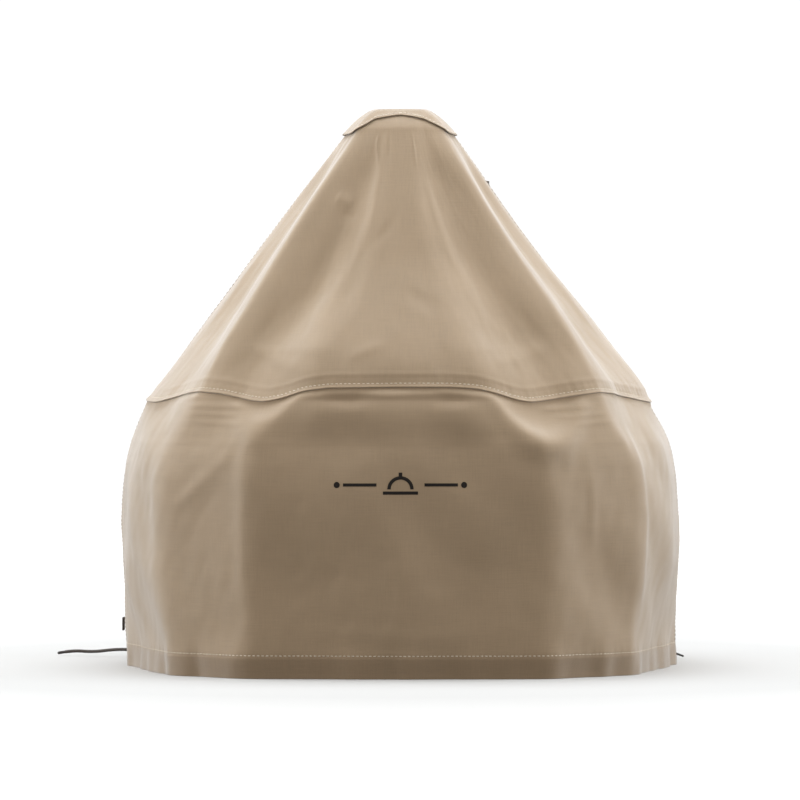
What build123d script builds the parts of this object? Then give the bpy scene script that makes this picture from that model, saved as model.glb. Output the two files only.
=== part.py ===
from build123d import *
from math import asin, cos, degrees, pi, radians, sin, tan
import os

# Weather cover for a domed outdoor oven with a flue, standing over its oven.
# Millimetres. Origin: centre of the footprint, on the ground. Front towards -Y, +Z up.

os.makedirs("parts", exist_ok=True)

# ---- Driving dimensions -------------------------------------------------------------------
overall_width = 734.0
overall_depth = 690.0
overall_height = 733.0
plan_flat = 90.0            # straight stretch on the shorter pair of sides

wall = 1.5                  # coated canvas with its turned edges
lap_gap = 0.3               # between two layers that are sewn one over the other
tape_thickness = 1.0        # binding tape inside the seams
thread_proud = 0.5          # how far a row of stitching stands off the cloth
thread_height = 0.8

belly_z = 230.0             # widest level of the skirt
shoulder_z = 290.0
yoke_z = 350.0              # lower edge of the cone, lapped over the skirt
hem_band_z = 40.0           # the skirt stands straight up to here
hem_inset = 2.0             # how far each level stands inside the widest plan
shoulder_inset = 12.5
yoke_inset = 34.0
yoke_underlap = 12.0        # skirt cloth that runs up under the cone

cap_half_width = 72.5
cap_half_depth = 64.0
cap_flat = 12.0
cap_forward = 45.0          # the flue stands forward of the oven's centre
cap_height = 36.0           # from the cap's lip to its top
cap_lip = 5.0
collar_height = 5.0         # cone edge turned up inside the cap's lip
cap_levels = [(0.0, 0.0), (0.48, 16.0), (0.84, 31.0), (1.0, 43.0)]   # share of the crown, inset

hem_height = 32.0
hem_stitch_z = 29.0
yoke_stitch_rise = 5.0      # from the cone's lower edge to its row of stitches
cap_stitch_rise = 2.5       # from the cap's lip to its row of stitches
anchor_stitch = (10.0, 2.0)        # height and width of the bar that holds the cord's fixed end
anchor_from_eyelet = 22.0
casing_wall = 1.2
hem_roll_clear = 0.25       # cord to the rolled edge below it

cord_diameter = 4.5
cord_z = 10.5
cord_bend_radius = 10.0
cord_clearance = 0.3
slant_share = 0.745         # of the bend radius, where the cord crosses the cloth
route_rounding = 0.45       # share of the shorter leg that each bend of a tail takes
left_exit_angle = 157.7     # degrees round the plan, from +X
right_exit_angle = 14.1
left_tip_diameter = 3.8
right_tip_diameter = 2.7
left_tip_length = 11.0
right_tip_length = 14.0
tip_shoulder = 0.5          # shortest run of the tip's cone
tip_roundness = 0.8         # of the tip's radius

eyelet_bore = cord_diameter + 5.5   # the cord leaves it at a slant
eyelet_barrel = eyelet_bore + 1.0
eyelet_flange = eyelet_barrel + 6.0
eyelet_flange_thickness = 0.9
eyelet_rim_round = 0.4
eyelet_fit = 0.1
washer_thickness = 0.8
washer_gap = 0.15

lock_diameter = 15.0
lock_floor = 1.25
lock_bore = cord_diameter + 0.9
lock_foot_round = 1.2
lock_rim_round = 0.8
lock_top = 7.5              # above the cord's centre
lock_from_exit = 9.0        # along the cord, from where its free tail starts
plunger_diameter = 10.2
plunger_gap = 0.3
plunger_travel = 3.0
plunger_button = 5.0        # how far it stands above the barrel at rest
plunger_rim_round = 1.8
plunger_web = 1.5
spring_room = 4.2
spring_wire = 0.5
spring_radius = 4.1
spring_taper = 28.0
spring_turns = 2.5
spring_play = 0.05

seam_tape_width = 11.0
side_tab = (25.0, 17.0, 45.0)      # length, height, and level of its lower edge
webbing = 0.9
tab_fold_gap = 0.4
tab_fold_roundness = 0.45          # of the folded tab's thickness
hang_loop_z = 631.0
hang_loop_width = 9.0
hang_loop_reach = 121.0            # x of its outer end
hang_loop_y = 25.0
hang_loop_gap = 5.0
hang_loop_root = 60.0              # x of its inner end, before the cone cuts it off
label_size = (40.0, 60.0, 0.4)
label_z = 110.0

# ---- Sizes that follow ----------------------------------------------------------------------
half_width = overall_width / 2
half_depth = overall_depth / 2
plan_radius = min(half_width, half_depth) - plan_flat / 2
cap_lip_z = overall_height - cap_height
neck_half_width = cap_half_width - wall - lap_gap
neck_half_depth = cap_half_depth - wall - lap_gap
neck_radius = min(neck_half_width, neck_half_depth) - cap_flat / 2
cone_height = cap_lip_z - yoke_z
cord_radius = cord_diameter / 2
eyelet_hole = eyelet_barrel + 2 * eyelet_fit
eyelet_hole_length = 4 * wall + eyelet_flange_thickness
washer_face = wall + washer_gap
eyelet_depth = washer_face + washer_thickness          # from the cloth's outer face inwards
washer_pocket = eyelet_flange + 2 * cord_clearance
washer_pocket_length = 2 * (eyelet_depth + cord_clearance)
on_base = (Align.CENTER, Align.CENTER, Align.MIN)
cord_standoff = washer_gap + washer_thickness + cord_clearance + cord_radius
channel_width = cord_standoff + cord_radius + hem_roll_clear
skirt_levels = [
    (0.0, hem_inset),
    (hem_band_z, hem_inset),
    (belly_z, 0.0),
    (shoulder_z, shoulder_inset),
    (yoke_z, yoke_inset + wall + lap_gap),
]

side_plane = Plane.XZ                                  # its normal points to the front
cone_seam_plane = Plane(
    origin=(0, 0, yoke_z), x_dir=(1, 0, 0), z_dir=(0, -cone_height, -cap_forward)
)

exit_sides = {"left": (-1, 180.0 - left_exit_angle), "right": (1, right_exit_angle)}
corner_x = half_width - plan_radius
corner_y = half_depth - plan_radius
channel_radius = plan_radius - hem_inset - wall - cord_standoff
eyelet_lateral = slant_share * cord_bend_radius      # middle of the cord's slanted way out
eyelet_turn = degrees(asin(eyelet_lateral / channel_radius))


def skirt_inset(z):
    """Inset of the skirt's outer face from the widest plan, at a level between its knots."""
    for (low, inset_low), (high, inset_high) in zip(skirt_levels, skirt_levels[1:]):
        if z <= high:
            return inset_low + (inset_high - inset_low) * (z - low) / (high - low)
    return skirt_levels[-1][1]


def plan_level(z, inset):
    """One closed plan of the skirt at level z."""
    with BuildSketch(Plane.XY.offset(z)) as level:
        RectangleRounded(2 * (half_width - inset), 2 * (half_depth - inset), plan_radius - inset)
    return level.sketch


def cone_sizes(z):
    """Half width, half depth, corner radius and centre y of the cone's outer face at level z."""
    share = (z - yoke_z) / cone_height
    base = (half_width - yoke_inset, half_depth - yoke_inset, plan_radius - yoke_inset, 0.0)
    neck = (neck_half_width, neck_half_depth, neck_radius, -cap_forward)
    return [low + (high - low) * share for low, high in zip(base, neck)]


def cone_level(z, inset):
    """One closed plan of the cone at level z."""
    half_w, half_d, radius, centre_y = cone_sizes(z)
    with BuildSketch(Plane.XY.offset(z)) as level:
        with Locations((0, centre_y)):
            RectangleRounded(2 * (half_w - inset), 2 * (half_d - inset), radius - inset)
    return level.sketch


def cap_level(z, inset):
    """One closed plan of the top cap at level z."""
    radius = min(cap_half_width, cap_half_depth) - cap_flat / 2
    with BuildSketch(Plane.XY.offset(z)) as level:
        with Locations((0, -cap_forward)):
            RectangleRounded(2 * (cap_half_width - inset), 2 * (cap_half_depth - inset), radius - inset)
    return level.sketch


def skirt_band(low, high, inset, mode=Mode.ADD):
    """Solid between two levels whose sides lie `inset` inside the skirt's outer face."""
    knots = [z for z, _ in skirt_levels if low < z < high]
    loft([plan_level(z, skirt_inset(z) + inset) for z in [low, *knots, high]], ruled=True, mode=mode)


def skirt_underlap(inset, mode=Mode.ADD):
    """The skirt's top edge, running up under the cone."""
    lap = wall + lap_gap + inset
    loft([cone_level(z, lap) for z in (yoke_z, yoke_z + yoke_underlap)], ruled=True, mode=mode)


def cone_band(low, high, inset, mode=Mode.ADD):
    """Solid between two levels whose sides lie `inset` inside the cone's outer face."""
    loft([cone_level(low, inset), cone_level(high, inset)], ruled=True, mode=mode)


def write(piece, name):
    """Label one finished piece and write it as its own file."""
    piece.part.label = name
    export_step(piece.part, f"parts/{name}.step")


def round_plan(side, angle, radius, z):
    """Point at an angle behind the side's own X axis, on a rear corner's circle."""
    return Vector(
        side * (corner_x + radius * cos(radians(angle))), corner_y + radius * sin(radians(angle)), z
    )


def outward(side, angle):
    """Unit vector that leaves the cloth at that angle."""
    return Vector(side * cos(radians(angle)), sin(radians(angle)), 0)


# ---- Where the cord leaves the hem --------------------------------------------------------
eyelet_planes = {}
tail_starts = {}
for name, (side, angle) in exit_sides.items():
    seat_angle = angle + eyelet_turn
    eyelet_planes[name] = Plane(
        origin=round_plan(side, seat_angle, plan_radius - hem_inset, cord_z),
        x_dir=(0, 0, 1),
        z_dir=outward(side, seat_angle),
    )
    rearward = outward(side, angle + 90)
    tail_starts[name] = (
        round_plan(side, angle, channel_radius, cord_z)
        + outward(side, angle) * cord_bend_radius
        + rearward * cord_bend_radius
    )

# ---- Cloth panels --------------------------------------------------------------------------
for name, keep in (("skirt_front", Keep.TOP), ("skirt_back", Keep.BOTTOM)):
    with BuildPart() as skirt:
        skirt_band(0.0, yoke_z, 0.0)
        skirt_underlap(0.0)
        skirt_band(0.0, yoke_z, wall, Mode.SUBTRACT)
        skirt_underlap(wall, Mode.SUBTRACT)
        for plane in eyelet_planes.values():
            with Locations(plane):
                Cylinder(eyelet_hole / 2, eyelet_hole_length, mode=Mode.SUBTRACT)
        split(bisect_by=side_plane, keep=keep)
    write(skirt, name)

for name, keep in (("cone_front", Keep.TOP), ("cone_back", Keep.BOTTOM)):
    with BuildPart() as cone:
        cone_band(yoke_z, cap_lip_z, 0.0)
        extrude(cone_level(cap_lip_z, 0.0), amount=collar_height)
        cone_band(yoke_z, cap_lip_z, wall, Mode.SUBTRACT)
        extrude(cone_level(cap_lip_z, wall), amount=collar_height, mode=Mode.SUBTRACT)
        split(bisect_by=cone_seam_plane, keep=keep)
    write(cone, name)

crown_z = cap_lip_z + cap_lip
crown_height = overall_height - crown_z
with BuildPart() as top_cap:
    extrude(cap_level(cap_lip_z, 0.0), amount=cap_lip)
    loft([cap_level(crown_z + share * crown_height, inset) for share, inset in cap_levels], ruled=True)
    extrude(cap_level(cap_lip_z, wall), amount=cap_lip, mode=Mode.SUBTRACT)
    hollow = crown_height - wall
    inner_levels = [cap_level(crown_z + share * hollow, inset + wall) for share, inset in cap_levels]
    loft(inner_levels, ruled=True, mode=Mode.SUBTRACT)
write(top_cap, "top_cap")

# ---- Binding tapes inside the seams --------------------------------------------------------
with BuildPart() as cap_seam_tape:
    extrude(cone_level(cap_lip_z, wall), amount=collar_height)
    extrude(cone_level(cap_lip_z, wall + tape_thickness), amount=collar_height, mode=Mode.SUBTRACT)
write(cap_seam_tape, "cap_seam_tape")

yoke_tape_low = yoke_z - seam_tape_width
with BuildPart() as yoke_seam_tape:
    skirt_band(yoke_tape_low, yoke_z, wall)
    skirt_band(yoke_tape_low, yoke_z, wall + tape_thickness, Mode.SUBTRACT)
write(yoke_seam_tape, "yoke_seam_tape")

tape_knots = [hem_height, hem_band_z, belly_z, shoulder_z, yoke_tape_low]
tape_outer = [(half_width - skirt_inset(z) - wall, z) for z in tape_knots]
tape_inner = [(x - tape_thickness, z) for x, z in reversed(tape_outer)]
for name, side in (("skirt_seam_tape_left", -1), ("skirt_seam_tape_right", 1)):
    with BuildPart() as seam_tape:
        with BuildSketch(Plane.XZ):
            with BuildLine():
                Polyline([(side * x, z) for x, z in tape_outer + tape_inner], close=True)
            make_face()
        extrude(amount=seam_tape_width / 2, both=True)
    write(seam_tape, name)

for name, side in (("cone_seam_tape_left", -1), ("cone_seam_tape_right", 1)):
    with BuildPart() as seam_tape:
        for z in (yoke_z + yoke_underlap, cap_lip_z):
            half_w, _, _, centre_y = cone_sizes(z)
            with BuildSketch(Plane.XY.offset(z)):
                with Locations((side * (half_w - wall - tape_thickness / 2), centre_y)):
                    Rectangle(tape_thickness, seam_tape_width)
        loft(ruled=True)
    write(seam_tape, name)

# ---- Hem casing: the turned edge that the drawcord runs in --------------------------------
casing_inset = hem_inset + wall
channel_inset = casing_inset + channel_width
roll_top = cord_z - cord_radius - hem_roll_clear
channel_height = hem_height - casing_wall - roll_top
for name, keep in (("hem_casing_front", Keep.TOP), ("hem_casing_back", Keep.BOTTOM)):
    with BuildPart() as casing:
        extrude(plan_level(0.0, casing_inset), amount=hem_height)
        extrude(plan_level(roll_top, casing_inset), amount=channel_height, mode=Mode.SUBTRACT)
        extrude(plan_level(0.0, channel_inset), amount=hem_height)
        extrude(plan_level(0.0, channel_inset + casing_wall), amount=hem_height, mode=Mode.SUBTRACT)
        for plane in eyelet_planes.values():
            with Locations(plane):
                Cylinder(washer_pocket / 2, washer_pocket_length, mode=Mode.SUBTRACT)
        split(bisect_by=side_plane, keep=keep)
    write(casing, name)

# ---- Rows of stitching ----------------------------------------------------------------------
with BuildPart() as hem_stitching:
    extrude(plan_level(hem_stitch_z, hem_inset - thread_proud), amount=thread_height)
    extrude(plan_level(hem_stitch_z, hem_inset), amount=thread_height, mode=Mode.SUBTRACT)
write(hem_stitching, "hem_stitching")

yoke_stitch_z = yoke_z + yoke_stitch_rise
with BuildPart() as yoke_stitching:
    cone_band(yoke_stitch_z, yoke_stitch_z + thread_height, -thread_proud)
    cone_band(yoke_stitch_z, yoke_stitch_z + thread_height, 0.0, Mode.SUBTRACT)
write(yoke_stitching, "yoke_stitching")

cap_stitch_z = cap_lip_z + cap_stitch_rise
with BuildPart() as cap_stitching:
    extrude(cap_level(cap_stitch_z, -thread_proud), amount=thread_height)
    extrude(cap_level(cap_stitch_z, 0.0), amount=thread_height, mode=Mode.SUBTRACT)
write(cap_stitching, "cap_stitching")

anchor_side, anchor_angle = exit_sides["right"]
anchor_angle += eyelet_turn - degrees(anchor_from_eyelet / plan_radius)
anchor_plane = Plane(
    origin=round_plan(anchor_side, anchor_angle, plan_radius - hem_inset, cord_z),
    x_dir=(0, 0, 1),
    z_dir=outward(anchor_side, anchor_angle),
)
with BuildPart(anchor_plane) as cord_anchor_stitch:
    Box(*anchor_stitch, thread_proud, align=on_base)
write(cord_anchor_stitch, "cord_anchor_stitch")

# ---- Eyelets ----------------------------------------------------------------------------------
for name, plane in eyelet_planes.items():
    with BuildPart() as eyelet:
        with BuildSketch(plane):
            Circle(eyelet_flange / 2)
        extrude(amount=eyelet_flange_thickness)
        rim = eyelet.edges().filter_by(GeomType.CIRCLE).sort_by(Axis(plane.origin, plane.z_dir))[-1]
        fillet(rim, eyelet_rim_round)
        with BuildSketch(plane):
            Circle(eyelet_barrel / 2)
        extrude(amount=-eyelet_depth)
        with BuildSketch(plane):
            Circle(eyelet_bore / 2)
        extrude(amount=eyelet_flange, both=True, mode=Mode.SUBTRACT)
    write(eyelet, f"eyelet_{name}")
    with BuildPart() as eyelet_washer:
        with BuildSketch(plane.offset(-washer_face)):
            Circle(eyelet_flange / 2)
            Circle(eyelet_hole / 2, mode=Mode.SUBTRACT)
        extrude(amount=-washer_thickness)
    write(eyelet_washer, f"eyelet_washer_{name}")

# ---- Drawcord: round the front in the hem, out at both rear corners -----------------------
left_turn = 180.0 - left_exit_angle
right_turn = right_exit_angle
channel_x = corner_x + channel_radius
channel_y = corner_y + channel_radius
left_bend = round_plan(-1, left_turn, channel_radius + cord_bend_radius, cord_z)
right_bend = round_plan(1, right_turn, channel_radius + cord_bend_radius, cord_z)
with BuildPart() as drawcord:
    with BuildLine() as drawcord_path:
        CenterArc(left_bend, cord_bend_radius, left_exit_angle - 180, 90)
        CenterArc((-corner_x, corner_y, cord_z), channel_radius, left_exit_angle, left_turn)
        Line((-channel_x, corner_y, cord_z), (-channel_x, -corner_y, cord_z))
        CenterArc((-corner_x, -corner_y, cord_z), channel_radius, 180, 90)
        Line((-corner_x, -channel_y, cord_z), (corner_x, -channel_y, cord_z))
        CenterArc((corner_x, -corner_y, cord_z), channel_radius, 270, 90)
        Line((channel_x, -corner_y, cord_z), (channel_x, corner_y, cord_z))
        CenterArc((corner_x, corner_y, cord_z), channel_radius, 0, right_turn)
        CenterArc(right_bend, cord_bend_radius, right_exit_angle + 90, 90)
    path = drawcord_path.wire()
    with BuildSketch(Plane(origin=path @ 0, z_dir=path % 0)):
        Circle(cord_radius)
    sweep(path=path)
print(f"drawcord: length {path.length:.1f}, volume over section x length "
      f"{drawcord.part.volume / (path.length * pi * cord_radius ** 2):.4f}")
write(drawcord, "drawcord")

# ---- Free tails of the cord ---------------------------------------------------------------
# Each route is chosen by hand, from where the tail leaves its eyelet: along the way out,
# towards the back of the cover, and up.
tail_routes = {
    "left": [(0, 0, 0), (25, 0, 0), (50, 0, -0.4), (82, 3, -4.6), (109, -2, -3.0), (121.5, -4.5, -5.0)],
    "right": [(0, 0, 0), (5.5, 0, 0), (11, -0.4, -2.0)],
}
tips = {"left": (left_tip_diameter, left_tip_length), "right": (right_tip_diameter, right_tip_length)}

for name, (side, angle) in exit_sides.items():
    along = outward(side, angle)
    rearward = outward(side, angle + 90)
    points = [tail_starts[name] + along * a + rearward * r + Vector(0, 0, u) for a, r, u in tail_routes[name]]
    radii = []
    for before, here, after in zip(points, points[1:], points[2:]):
        turn = (here - before).get_angle(after - here)
        shorter = min((here - before).length, (after - here).length)
        radii.append(route_rounding * shorter / tan(radians(turn / 2)))
    print(f"cord_tail_{name} radii:", [round(radius, 1) for radius in radii])

    with BuildPart() as cord_tail:
        with BuildLine() as tail_path:
            FilletPolyline(points, radius=radii)
        path = tail_path.wire()
        with BuildSketch(Plane(origin=points[0], z_dir=along)):
            Circle(cord_radius)
        sweep(path=path)
    print(f"cord_tail_{name}: length {path.length:.1f}, volume over section x length "
          f"{cord_tail.part.volume / (path.length * pi * cord_radius ** 2):.4f}")
    write(cord_tail, f"cord_tail_{name}")

    tip_diameter, tip_length = tips[name]
    tip_plane = Plane(origin=points[-1], z_dir=points[-1] - points[-2])
    shrink = cord_radius - tip_diameter / 2 + tip_shoulder
    with BuildPart(tip_plane) as cord_tip:
        Cone(cord_radius, tip_diameter / 2, shrink, align=on_base)
        with Locations((0, 0, shrink)):
            Cylinder(tip_diameter / 2, tip_length - shrink, align=on_base)
        tip_axis = Axis(tip_plane.origin, tip_plane.z_dir)
        tip_end = cord_tip.edges().filter_by(GeomType.CIRCLE).sort_by(tip_axis)[-1]
        fillet(tip_end, tip_roundness * tip_diameter / 2)
    write(cord_tip, f"cord_tip_{name}")

# ---- Spring cord lock on the long tail ----------------------------------------------------
lock_side, lock_angle = exit_sides["left"]
lock_axis = outward(lock_side, lock_angle)
lock_plane = Plane(
    origin=tail_starts["left"] + lock_axis * lock_from_exit, x_dir=lock_axis, z_dir=(0, 0, 1)
)
slot_bottom = -lock_bore / 2
plunger_bottom = slot_bottom - plunger_web
cavity_floor = plunger_bottom - spring_room
barrel_bottom = cavity_floor - lock_floor
barrel_height = lock_top - barrel_bottom
across_cord = Plane(origin=lock_plane.origin, x_dir=(0, 0, 1), z_dir=lock_axis)

with BuildPart(lock_plane) as lock_barrel:
    with Locations((0, 0, barrel_bottom)):
        Cylinder(lock_diameter / 2, barrel_height, align=on_base)
    fillet(lock_barrel.edges().group_by(Axis.Z)[0], lock_foot_round)
    fillet(lock_barrel.edges().group_by(Axis.Z)[-1], lock_rim_round)
    with Locations((0, 0, cavity_floor)):
        Cylinder(
            plunger_diameter / 2 + plunger_gap,
            barrel_height,
            align=on_base,
            mode=Mode.SUBTRACT,
        )
    with BuildSketch(across_cord):
        Circle(lock_bore / 2)
    extrude(amount=lock_diameter, both=True, mode=Mode.SUBTRACT)
write(lock_barrel, "lock_barrel")

with BuildPart(lock_plane) as lock_plunger:
    with Locations((0, 0, plunger_bottom)):
        Cylinder(
            plunger_diameter / 2,
            lock_top + plunger_button - plunger_bottom,
            align=on_base,
        )
    fillet(lock_plunger.edges().group_by(Axis.Z)[-1], plunger_rim_round)
    with BuildSketch(across_cord):
        with Locations((plunger_travel / 2, 0)):
            SlotCenterToCenter(plunger_travel, lock_bore)
    extrude(amount=lock_diameter, both=True, mode=Mode.SUBTRACT)
write(lock_plunger, "lock_plunger")

spring_height = spring_room - spring_wire - 2 * spring_play
spring_base = lock_plane.origin + Vector(0, 0, cavity_floor + spring_wire / 2 + spring_play)
with BuildPart() as lock_spring:
    with BuildLine() as spring_path:
        Helix(
            pitch=spring_height / spring_turns,
            height=spring_height,
            radius=spring_radius,
            center=spring_base,
            cone_angle=-spring_taper,
        )
    path = spring_path.wire()
    with BuildSketch(Plane(origin=path @ 0, z_dir=path % 0)):
        Circle(spring_wire / 2)
    sweep(path=path, is_frenet=True)
write(lock_spring, "lock_spring")

# ---- Small sewn-on pieces -------------------------------------------------------------------
tab_length, tab_height, tab_z = side_tab
tab_width = 2 * webbing + tab_fold_gap
tab_skin = half_width - skirt_inset(tab_z + tab_height) + lap_gap
with BuildPart() as side_loop_tab:
    with BuildSketch(Plane.XY.offset(tab_z)):
        with Locations((-(tab_skin + tab_width / 2), tab_length / 2)):
            RectangleRounded(tab_width, tab_length, tab_fold_roundness * tab_width)
            Rectangle(tab_fold_gap, tab_length - 2 * webbing, mode=Mode.SUBTRACT)
    extrude(amount=tab_height)
write(side_loop_tab, "side_loop_tab")

loop_outer = hang_loop_gap + 2 * webbing
with BuildPart() as hang_loop:
    with BuildSketch(Plane.XY.offset(hang_loop_z)):
        with Locations(((hang_loop_reach + hang_loop_root) / 2, hang_loop_y)):
            SlotOverall(hang_loop_reach - hang_loop_root, loop_outer)
            SlotOverall(hang_loop_reach - hang_loop_root - 2 * webbing, hang_loop_gap, mode=Mode.SUBTRACT)
    extrude(amount=hang_loop_width)
    cone_band(yoke_z, cap_lip_z, 0.0, Mode.SUBTRACT)
write(hang_loop, "hang_loop")

label_width, label_height, label_thickness = label_size
label_knots = [(half_depth - skirt_inset(z) - wall, z) for z in (label_z, label_z + label_height)]
label_back = [(y - label_thickness, z) for y, z in reversed(label_knots)]
with BuildPart() as care_label:
    with BuildSketch(Plane.YZ):
        with BuildLine():
            Polyline(label_knots + label_back, close=True)
        make_face()
    extrude(amount=label_width / 2, both=True)
write(care_label, "care_label")
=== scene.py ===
"""Looks of a fitted weather cover that stands over a domed outdoor oven with a flue."""

import logging
import math
from dataclasses import dataclass, field
from enum import Enum
from typing import Any, Callable, Sequence

import bpy
import numpy as np
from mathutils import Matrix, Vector


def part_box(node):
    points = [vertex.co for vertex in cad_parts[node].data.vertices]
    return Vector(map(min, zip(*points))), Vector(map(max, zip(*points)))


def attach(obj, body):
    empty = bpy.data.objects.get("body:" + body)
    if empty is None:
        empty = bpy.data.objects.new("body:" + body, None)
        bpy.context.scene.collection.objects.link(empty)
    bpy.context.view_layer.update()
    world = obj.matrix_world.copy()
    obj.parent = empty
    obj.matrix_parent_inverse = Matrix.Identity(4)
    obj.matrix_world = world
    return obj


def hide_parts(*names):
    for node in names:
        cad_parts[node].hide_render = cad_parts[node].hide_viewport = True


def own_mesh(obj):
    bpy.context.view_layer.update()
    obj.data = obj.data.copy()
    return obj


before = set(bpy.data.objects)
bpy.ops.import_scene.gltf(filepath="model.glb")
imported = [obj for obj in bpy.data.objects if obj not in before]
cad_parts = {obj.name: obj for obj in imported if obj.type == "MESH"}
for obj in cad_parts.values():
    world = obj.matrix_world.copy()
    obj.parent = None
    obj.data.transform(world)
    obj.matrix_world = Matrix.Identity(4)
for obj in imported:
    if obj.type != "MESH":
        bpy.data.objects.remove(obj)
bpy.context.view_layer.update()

MM = 0.001
COVER = "cover"
log = logging.getLogger("cover")


class Half(Enum):
    """Which half of the cover a cloth panel makes."""

    FRONT = "front"
    BACK = "back"


class Hand(Enum):
    """The two sides of the cover, as seen from its front."""

    LEFT = -1
    RIGHT = 1


# ---- Small helpers of shape ---------------------------------------------------------------


def ease(value: np.ndarray, low: float, high: float) -> np.ndarray:
    """Smooth step of a value from 0 at low to 1 at high.

    Args:
        value: The values to step.
        low: Where the step starts.
        high: Where the step ends, above or below low.

    Returns:
        Numbers from 0 to 1.
    """
    share = np.clip((np.asarray(value, float) - low) / (high - low), 0.0, 1.0)
    return share * share * (3.0 - 2.0 * share)


def bump(value: np.ndarray, spread: float) -> np.ndarray:
    """Bell curve of 1 at zero that falls off over the spread."""
    return np.exp(-((value / spread) ** 2))


def soft_least(values: Sequence[np.ndarray], softness: float | np.ndarray) -> np.ndarray:
    """Least of several surfaces, with the corner between them rounded.

    Args:
        values: The surfaces to compare.
        softness: How far the rounding reaches, in millimetres, everywhere or at each point.

    Returns:
        The rounded least surface.
    """
    stack = np.stack(np.broadcast_arrays(*values))
    least = stack.min(axis=0)
    return least - softness * np.log(np.exp(-(stack - least) / softness).sum(axis=0))


@dataclass(frozen=True)
class Ripple:
    """Gentle unevenness of cloth: a few long waves that cross one another."""

    height: float
    shortest: float
    longest: float
    seed: int
    waves: int = 14
    upright: float = 1.0

    def at(self, s: np.ndarray, z: np.ndarray) -> np.ndarray:
        """Height of the unevenness.

        Args:
            s: Distance round the cover.
            z: Level.

        Returns:
            Height in millimetres.
        """
        draw = np.random.RandomState(self.seed)
        total = np.zeros(np.broadcast(s, z).shape)
        for _ in range(self.waves):
            length = draw.uniform(self.shortest, self.longest)
            way = draw.uniform(0.0, math.pi)
            phase = draw.uniform(0.0, 2.0 * math.pi)
            across, up = math.cos(way), math.sin(way) / self.upright
            total = total + np.cos(2.0 * math.pi * (across * s + up * z) / length + phase)
        return total * self.height / math.sqrt(self.waves / 2.0)


@dataclass(frozen=True)
class Fold:
    """One crease or ridge that runs through a few points on the cloth."""

    route: tuple[tuple[float, float], ...]
    width: float
    height: float
    fade: float = 30.0

    def at(self, s: np.ndarray, z: np.ndarray) -> np.ndarray:
        """Height that the fold adds.

        Args:
            s: Distance round the cover.
            z: Level.

        Returns:
            Height in millimetres.
        """
        nearest = np.full(np.broadcast(s, z).shape, 1e9)
        run = np.zeros_like(nearest)
        lengths = [math.dist(a, b) for a, b in zip(self.route, self.route[1:])]
        whole, done = sum(lengths), 0.0
        for (s0, z0), (s1, z1), length in zip(self.route, self.route[1:], lengths):
            share = np.clip(((s - s0) * (s1 - s0) + (z - z0) * (z1 - z0)) / length**2, 0.0, 1.0)
            gap = np.hypot(s - s0 - share * (s1 - s0), z - z0 - share * (z1 - z0))
            run = np.where(gap < nearest, done + share * length, run)
            nearest = np.minimum(nearest, gap)
            done += length
        ends = ease(run, -0.3 * self.fade, self.fade) * ease(whole - run, -0.3 * self.fade, self.fade)
        return self.height * bump(nearest, self.width) * ends


@dataclass(frozen=True)
class Turn:
    """Way round the cover: straight stretches joined by large round corners.

    Distances run from the middle of the front, positive to the right.
    """

    flat_x: float = 67.0
    flat_y: float = 45.0
    radius: float = 300.0

    @property
    def quarter(self) -> float:
        """Length of one round corner."""
        return self.radius * math.pi / 2.0

    @property
    def side(self) -> float:
        """Distance from the middle of the front to the side seam."""
        return self.flat_x + self.quarter + self.flat_y

    def trace(self, s: np.ndarray) -> tuple[np.ndarray, np.ndarray, np.ndarray, np.ndarray]:
        """Shares of the corner centre, and the way out, at a distance round the cover.

        Args:
            s: Distance round the cover.

        Returns:
            Share of the corner centre's x and of its y, then the outward direction's x and y.
        """
        s = np.asarray(s, float)
        hand = np.where(s < 0.0, -1.0, 1.0)
        a = np.abs(s)
        first = np.clip((a - self.flat_x) / self.radius, 0.0, math.pi / 2.0)
        last_start = self.side + self.flat_y
        last = np.clip((a - last_start) / self.radius, 0.0, math.pi / 2.0)
        share_x = np.clip(np.minimum(a, 2.0 * self.side - a) / self.flat_x, 0.0, 1.0)
        share_y = np.clip((a - self.flat_x - self.quarter) / self.flat_y, 0.0, 2.0) - 1.0
        angle = first + last
        return hand * share_x, share_y, hand * np.sin(angle), -np.cos(angle)

    def front(self, share: float) -> float:
        """Distance round the cover where a front view sees that share of its half width.

        Args:
            share: Share of the half width, from -1 at the left to 1 at the right.

        Returns:
            Distance in millimetres.
        """
        flat = self.flat_x / (self.flat_x + self.radius)
        size = abs(share)
        if size <= flat:
            return self.flat_x * share / flat
        angle = math.asin(min(1.0, (size - flat) / (1.0 - flat)))
        return math.copysign(self.flat_x + self.radius * angle, share)


TURN = Turn()


# ---- The cloth's surfaces ------------------------------------------------------------------


@dataclass(frozen=True)
class Pouch:
    """A slack pouch of cloth that hangs from the line above it and is fullest along its lower edge."""

    middle: float
    half_width: float
    bottom: float
    rise: float
    fullness: float
    over: float = 15.0
    under: float = 26.0

    def at(self, s: np.ndarray, z: np.ndarray) -> np.ndarray:
        """Height that the pouch adds.

        Args:
            s: Distance round the cover.
            z: Level.

        Returns:
            Height in millimetres.
        """
        side = (s - self.middle) / self.half_width
        height = z - self.bottom - self.rise * side**2
        hang = np.where(height > 0.0, bump(height, self.over), bump(height, self.under))
        return self.fullness * bump(side, 1.0) * hang


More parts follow.
